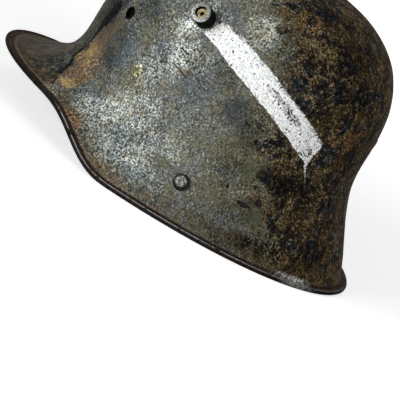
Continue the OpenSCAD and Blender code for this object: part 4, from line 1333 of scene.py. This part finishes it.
# %% Set the brightness and the gloss
# Painted light: these patches lift the brightness of broad areas where the key lamp falls hardest.
glow = patches([
    (82.9, -52, 77.1, 11, 11, 13), (81.5, -55.5, 46, 13, 12, 12), (82, -68, 35, 9, 12, 9),
    (91.6, -49.5, 21.9, 12, 12, 9), (98.1, -31.6, 19.1, 12, 12, 9), (97.2, -14.6, 41, 12, 13, 11),
    (84.7, -44.8, 116.3, 7, 7, 7), (86, -71, 25, 11, 11, 8), (88.8, -41, 90, 8, 8, 14),
    (93, -51, 18, 9, 12, 8), (101, -20, 17, 9, 12, 7), (75, 74, 93, 12, 16, 16),
    (88.5, 47, 117, 9, 9, 11), (88, -1.5, 139, 10, 10, 9), (54.2, -108.8, 35.7, 8, 8, 6),
    (69, 95, 36, 8, 9, 9), (61, 91, 70, 8, 8, 9), (92.2, 41.5, 74, 8, 8, 8), (74, -102, 30, 8, 8, 5),
    (69, -95, 32.5, 9, 8, 6), (77, 25, 151, 9, 9, 7), (60, 96, 48, 7, 8, 12), (86, 50, 128, 8, 8, 9)
], ragged * 0.8, 1.3)
# Painted shade: these patches lower the brightness of broad areas where less light falls.
painted_shade_patches = patches([
    (42, -92.5, 89, 14, 9, 16), (60, -77.5, 74, 9, 9, 17), (58, 37, 164, 18, 18, 10),
    (96.5, 6, 86, 8, 8, 9), (95.5, 24, 78, 10, 9, 10), (89.5, 18, 136.5, 9, 10, 9),
    (84, 63, 58, 9, 10, 9), (98, 42, 26, 12, 14, 9), (70, 60, 148, 9, 9, 7), (97, 25.8, 50, 9, 9, 9),
    (67, -72, 109, 12, 14, 8), (100, 53, 13, 14, 34, 9), (53, 64, 157, 12, 14, 9),
    (74, 74, 118, 8, 9, 8), (70, 76, 128, 12, 14, 14), (48, 98, 90, 16, 12, 26),
    (66, 104, 24, 16, 13, 14), (50, 104, 54, 15, 12, 15), (62, 58, 152, 16, 15, 10),
    (94.5, -6, 104, 9, 10, 10)
], ragged * 0.6, 1.3)
calm = crease * 0.72 | khaki_green * 0.7 | bar | visor * 0.62 | within * 0.6 | hem * 0.7
calm = calm | (khaki | bluish) * 0.4
# The speckle is deepest in the lit and pale patches, where its light flecks are painted glints as well as
# the paint's grain.
depth = 7.0 + f.step(cloud + (stain - 0.5) * 0.8, 0.44, 0.60) * 5.0 + (glow | pale) * 6.0 + rear * 4.0
depth = depth * (1 - calm * 0.9)
stops = (wrinkle - 0.5) * depth + (speck - 0.5) * depth * 0.30
stops = stops + (glow * 0.55 - painted_shade_patches * 0.75) * outside * (1 - bar)
tone = stops.maths("POWER", 2.0, stops) & 3.6
f.colour = f.mix(1.0, f.colour, f.combined(tone, tone, tone), "MULTIPLY")

matt = rust | crease | bar * 0.6 | within * 0.8 | visor * 0.3 | rear * 0.5
roughness = 0.50 + matt * 0.30 + (mottle - 0.5) * 0.25
height = wrinkle * (1 - calm * 0.6) + speck * 0.25 + mottle * 1.3
f.set(Roughness=roughness, Normal=f.bump(height, 0.0008, 0.8), Specular_IOR_Level=0.01)


def finished(items, finish):
    for item in items:
        item.data.materials.clear()
        item.data.materials.append(finish.material)


finished([shell], f)
print("shell paint:", len(f.tree.nodes), "nodes")

# %% [markdown]
# ### Steel fittings
# The lug's ring face is rubbed to a pale grey with bright nicks, more of them on its lower half
# as painted glints, and its barrel is nearly black. Yellow rust cakes the floor of the mouth,
# whose wall and air bore are painted dark as painted shade. Height along the lug's axis and
# distance from it tell these apart. The same two numbers put a ring of painted shade round the
# dome of a strap rivet, whose paler middle is moved towards the front and the top as a painted
# highlight.

# %% Finish the lugs and strap rivets
def lug_finish():
    f = Finish("battered_lug_steel")
    place, way = fittings["lug_left"]
    high, far = f.from_axis(place, way, f.mirrored())
    grain, fine = f.grain(2.6, 4.0, 0.65), f.grain(0.9, 2.0, 0.6)
    # Bright nicks come more often on the lower half of the ring face: painted glints.
    painted_glint_half = f.step(f.part(2), place[2] + 6.0, place[2] - 1.0)
    face = f.step(high + (grain - 0.5) * 1.0, 13.2, 13.7) * f.step(far + (grain - 0.5) * 1.2, 7.1, 6.5)
    mouth = f.step(far, 3.95, 3.75)
    pale = f.tones(grain, 0.36, 0.60, (0.085, 0.092, 0.080), (0.215, 0.225, 0.210))
    pale = f.tones(fine + painted_glint_half * 0.12, 0.56, 0.68, pale, (0.66, 0.67, 0.65))
    barrel = f.tones(grain, 0.52, 0.70, (0.0024, 0.0021, 0.0021), (0.013, 0.010, 0.007))
    f.colour = f.mix(face, barrel, pale)
    gold = f.tones(f.grain(1.6, 2.0, 0.6), 0.40, 0.60, (0.17, 0.115, 0.045), (0.62, 0.50, 0.27))
    caked = f.step(far + (grain - 0.5) * 0.5, 3.45, 3.15) * f.step(high, 11.9, 11.1)
    # The mouth's wall is painted near black and the air bore dark brown, as painted shade; yellow rust
    # cakes the floor.
    inside = f.mix(caked, (0.006, 0.005, 0.004), gold)
    f.coat(mouth, f.tones(high, 10.6, 9.6, inside, (0.03, 0.022, 0.012)))
    f.set(
        Roughness=0.62 - face * 0.26 + (fine - 0.5) * 0.2, Normal=f.bump(grain + fine * 0.5, 0.0004, 0.8),
        Specular_IOR_Level=0.015
    )
    return f


def rivet_finish():
    f = Finish("hammered_rivet_steel")
    place, way = fittings["post_left"]
    high = f.from_axis(place, way, f.mirrored())[0]
    grain, fine = f.grain(2.3, 3.0, 0.6), f.grain(0.9, 2.0, 0.6)
    f.colour = f.tones(grain, 0.40, 0.60, (0.026, 0.024, 0.022), (0.125, 0.130, 0.124))
    f.coat(f.step(fine + grain * 0.3, 0.62, 0.74), (0.34, 0.36, 0.35))
    # A ring of painted shade round the dome. Its middle is moved towards the front and the top, so the
    # paler middle is a painted highlight.
    far = f.from_axis(place + np.array([0, -0.7, 0.7]), way, f.mirrored())[1]
    painted_dome_shade = f.tones(fine, 0.5, 0.62, (0.006, 0.0055, 0.004), (0.030, 0.030, 0.018))
    f.coat(f.step(far + (grain - 0.5) * 2.4, 3.1, 4.2), painted_dome_shade)
    f.coat(f.step(high, -1.0, -3.0), (0.10, 0.085, 0.065))
    f.set(
        Roughness=0.34 + (grain - 0.5) * 0.3, Normal=f.bump(grain * 1.4 + fine * 0.4, 0.0005, 0.8),
        Specular_IOR_Level=0.10
    )
    return f


def steel_finish(name, dark, light, stain, metallic, roughness, size=3.0, painted_shade_hole=None):
    """Steel with a coat that has gone patchy and stained, with near-black painted shade round the axis of a
    hole where one is given.
    """
    f = Finish(name)
    grain, fine = f.grain(size, 5.0, 0.65), f.grain(0.8, 2.0, 0.6)
    spots = f.step(f.grain(size * 1.7, 4.0, 0.7), 0.52, 0.64)
    f.colour = f.tones(grain, 0.38, 0.62, dark, light)
    f.coat(spots * 0.85, f.mix(fine, stain, tuple(1.9 * c for c in stain)))
    if painted_shade_hole:
        # Near-black painted shade round the hole's axis.
        f.coat(f.step(f.from_axis(*painted_shade_hole)[1], 16.0, 11.0) * 0.97, (0.002, 0.002, 0.002))
    f.set(
        Metallic=(1 - spots) * metallic, Roughness=roughness + spots * 0.3 + (fine - 0.5) * 0.2,
        Normal=f.bump(grain + fine * 0.4, 0.00025, 0.7)
    )
    return f


def named(*starts):
    return [o for o in bpy.data.objects if o.type == "MESH" and o.name.startswith(starts)]


finished(named("ventilator_lug_on"), lug_finish())
finished(named("strap_rivet"), rivet_finish())
for start, settings in {
    "strap_post": (
        "strap_post_steel", (0.20, 0.19, 0.17), (0.42, 0.40, 0.37), (0.085, 0.045, 0.020), 0.85, 0.42
    ),
    "liner_pin": (
        "liner_pin_steel", (0.030, 0.027, 0.024), (0.105, 0.100, 0.090), (0.075, 0.036, 0.016),
        0.3, 0.48, 2.4
    ),
    "pad_rivet_set": (
        "zinced_rivet_steel", (0.30, 0.29, 0.27), (0.52, 0.51, 0.48), (0.12, 0.075, 0.040), 0.9, 0.36, 2.0
    ),
    # The band is painted near black round the empty pin hole's axis, as painted shade seen through the
    # hole.
    "steel_liner_band": (
        "band_paint", (0.085, 0.083, 0.070), (0.150, 0.146, 0.122), (0.080, 0.038, 0.017), 0.0, 0.55, 5.0,
        fittings["pin_front_left"]
    )
}.items():
    finished(named(start), steel_finish(*settings))
print("steel finishes:", len(bpy.data.materials))

# %% [markdown]
# ### Old leather
# The pads are thick vegetable tanned leather, brown where hands and hair darkened it and
# cracked across the fold. The grain is a Voronoi cell pattern about a millimetre wide, and
# creases run level, because the leather bends about the level fold line.

# %% Finish the leather
def leather_finish():
    f = Finish("old_pad_leather")
    z = f.part(2)
    cloud, mott = f.grain(22, 3.0, 0.55), f.grain(6, 4.0, 0.62)
    cells = f.node("ShaderNodeTexVoronoi", {"feature": "DISTANCE_TO_EDGE"}, {
        "Vector": f.here, "Scale": 1 / 1.05
    })
    creases = f.grain(1.0, 3.0, 0.55, at=f.vector("MULTIPLY", f.here, (0.045, 0.045, 0.55)))
    fold = f.step((z - 113.5).size() + (mott - 0.5) * 6, 9, 2)
    crack = f.step(creases, 0.40, 0.33) * (0.25 + fold * 0.75)
    f.colour = f.tones(cloud + (mott - 0.5) * 0.5, 0.38, 0.64, (0.125, 0.062, 0.028), (0.300, 0.170, 0.085))
    f.coat(f.step(mott, 0.58, 0.72) * 0.7, (0.060, 0.030, 0.015))
    f.coat(fold * 0.45, (0.105, 0.055, 0.026))
    f.coat(crack * 0.75, (0.035, 0.018, 0.010))
    # Near-black painted shade round the empty pin hole's axis, where the leather shows through the hole.
    far = f.from_axis(*fittings["pin_front_left"])[1]
    f.coat(f.step(far + (mott - 0.5) * 3, 8.0, 5.0), (0.010, 0.007, 0.005))
    f.coat(f.step(cells, 0.10, 0.0) * 0.35, (0.06, 0.03, 0.015))
    height = f.step(cells, 0.0, 0.16) * 0.6 + mott * 0.7 - crack * 1.2
    f.set(Roughness=0.50 + (mott - 0.5) * 0.35 + crack * 0.2, Normal=f.bump(height, 0.00022, 0.7))
    return f


finished(named("pad_base", "leather_tongue"), leather_finish())

# %% [markdown]
# ### Soiled linen
# The cushion covers are plain linen. Its threads are two sets of sine waves, one along the
# height and one round the helmet, so the weave keeps its size on all three bags, and sweat
# and oil have stained it.

# %% Finish the linen
def linen_finish():
    f = Finish("soiled_cushion_linen")
    x, y, z = f.part(0), f.part(1), f.part(2)
    round_helmet = x.maths("ARCTAN2", x, CROWN_Y - y) * 92
    uneven, per_thread = (f.grain(9, 2.0) - 0.5) * 1.6, 2 * math.pi / 1.1
    weft, warp = (way.maths("SINE", (way + uneven) * per_thread) for way in (z, round_helmet))
    weave = (weft * warp) * 0.5 + 0.5
    stain, fine = f.grain(15, 4.0, 0.6), f.grain(2.2, 3.0, 0.6)
    f.colour = f.tones(stain, 0.40, 0.66, (0.50, 0.43, 0.29), (0.30, 0.215, 0.115))
    f.coat(f.step(weave, 0.35, 0.0) * 0.5, (0.16, 0.115, 0.06))
    f.coat(f.step(fine, 0.62, 0.74) * 0.4, (0.14, 0.095, 0.05))
    f.set(Roughness=0.9, Normal=f.bump(weave + fine * 0.5, 0.00022, 0.7))
    return f


finished(named("cushion_bag"), linen_finish())

# %% [markdown]
# ### Floor
# The floor is matt and pale. A little glow that only camera, mirror and glass rays see lifts
# it to white without adding light to the helmet.

# %% Finish the floor
ground = Finish("pale_floor")
ground.colour = (0.80, 0.80, 0.80)
glow = union([ground.node("ShaderNodeLightPath", output=f"Is {ray} Ray") for ray in SEEN_BY])
glow = glow * (0.62 + ground.step(ground.length(ground.here), 200, 1300) * 0.36)
ground.set(
    Roughness=1.0, Emission_Color=ground.combined(glow, glow, glow), Emission_Strength=1.0,
    Specular_IOR_Level=0.0
)
finished([floor], ground)
print("materials:", sorted(m.name for m in bpy.data.materials))

# %% Print both boxes and finish
boxes = {"cad": packed_box, "visual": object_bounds()}
for name, box in boxes.items():
    print(name, [tuple(round(v * 1000, 1) for v in corner) for corner in box])
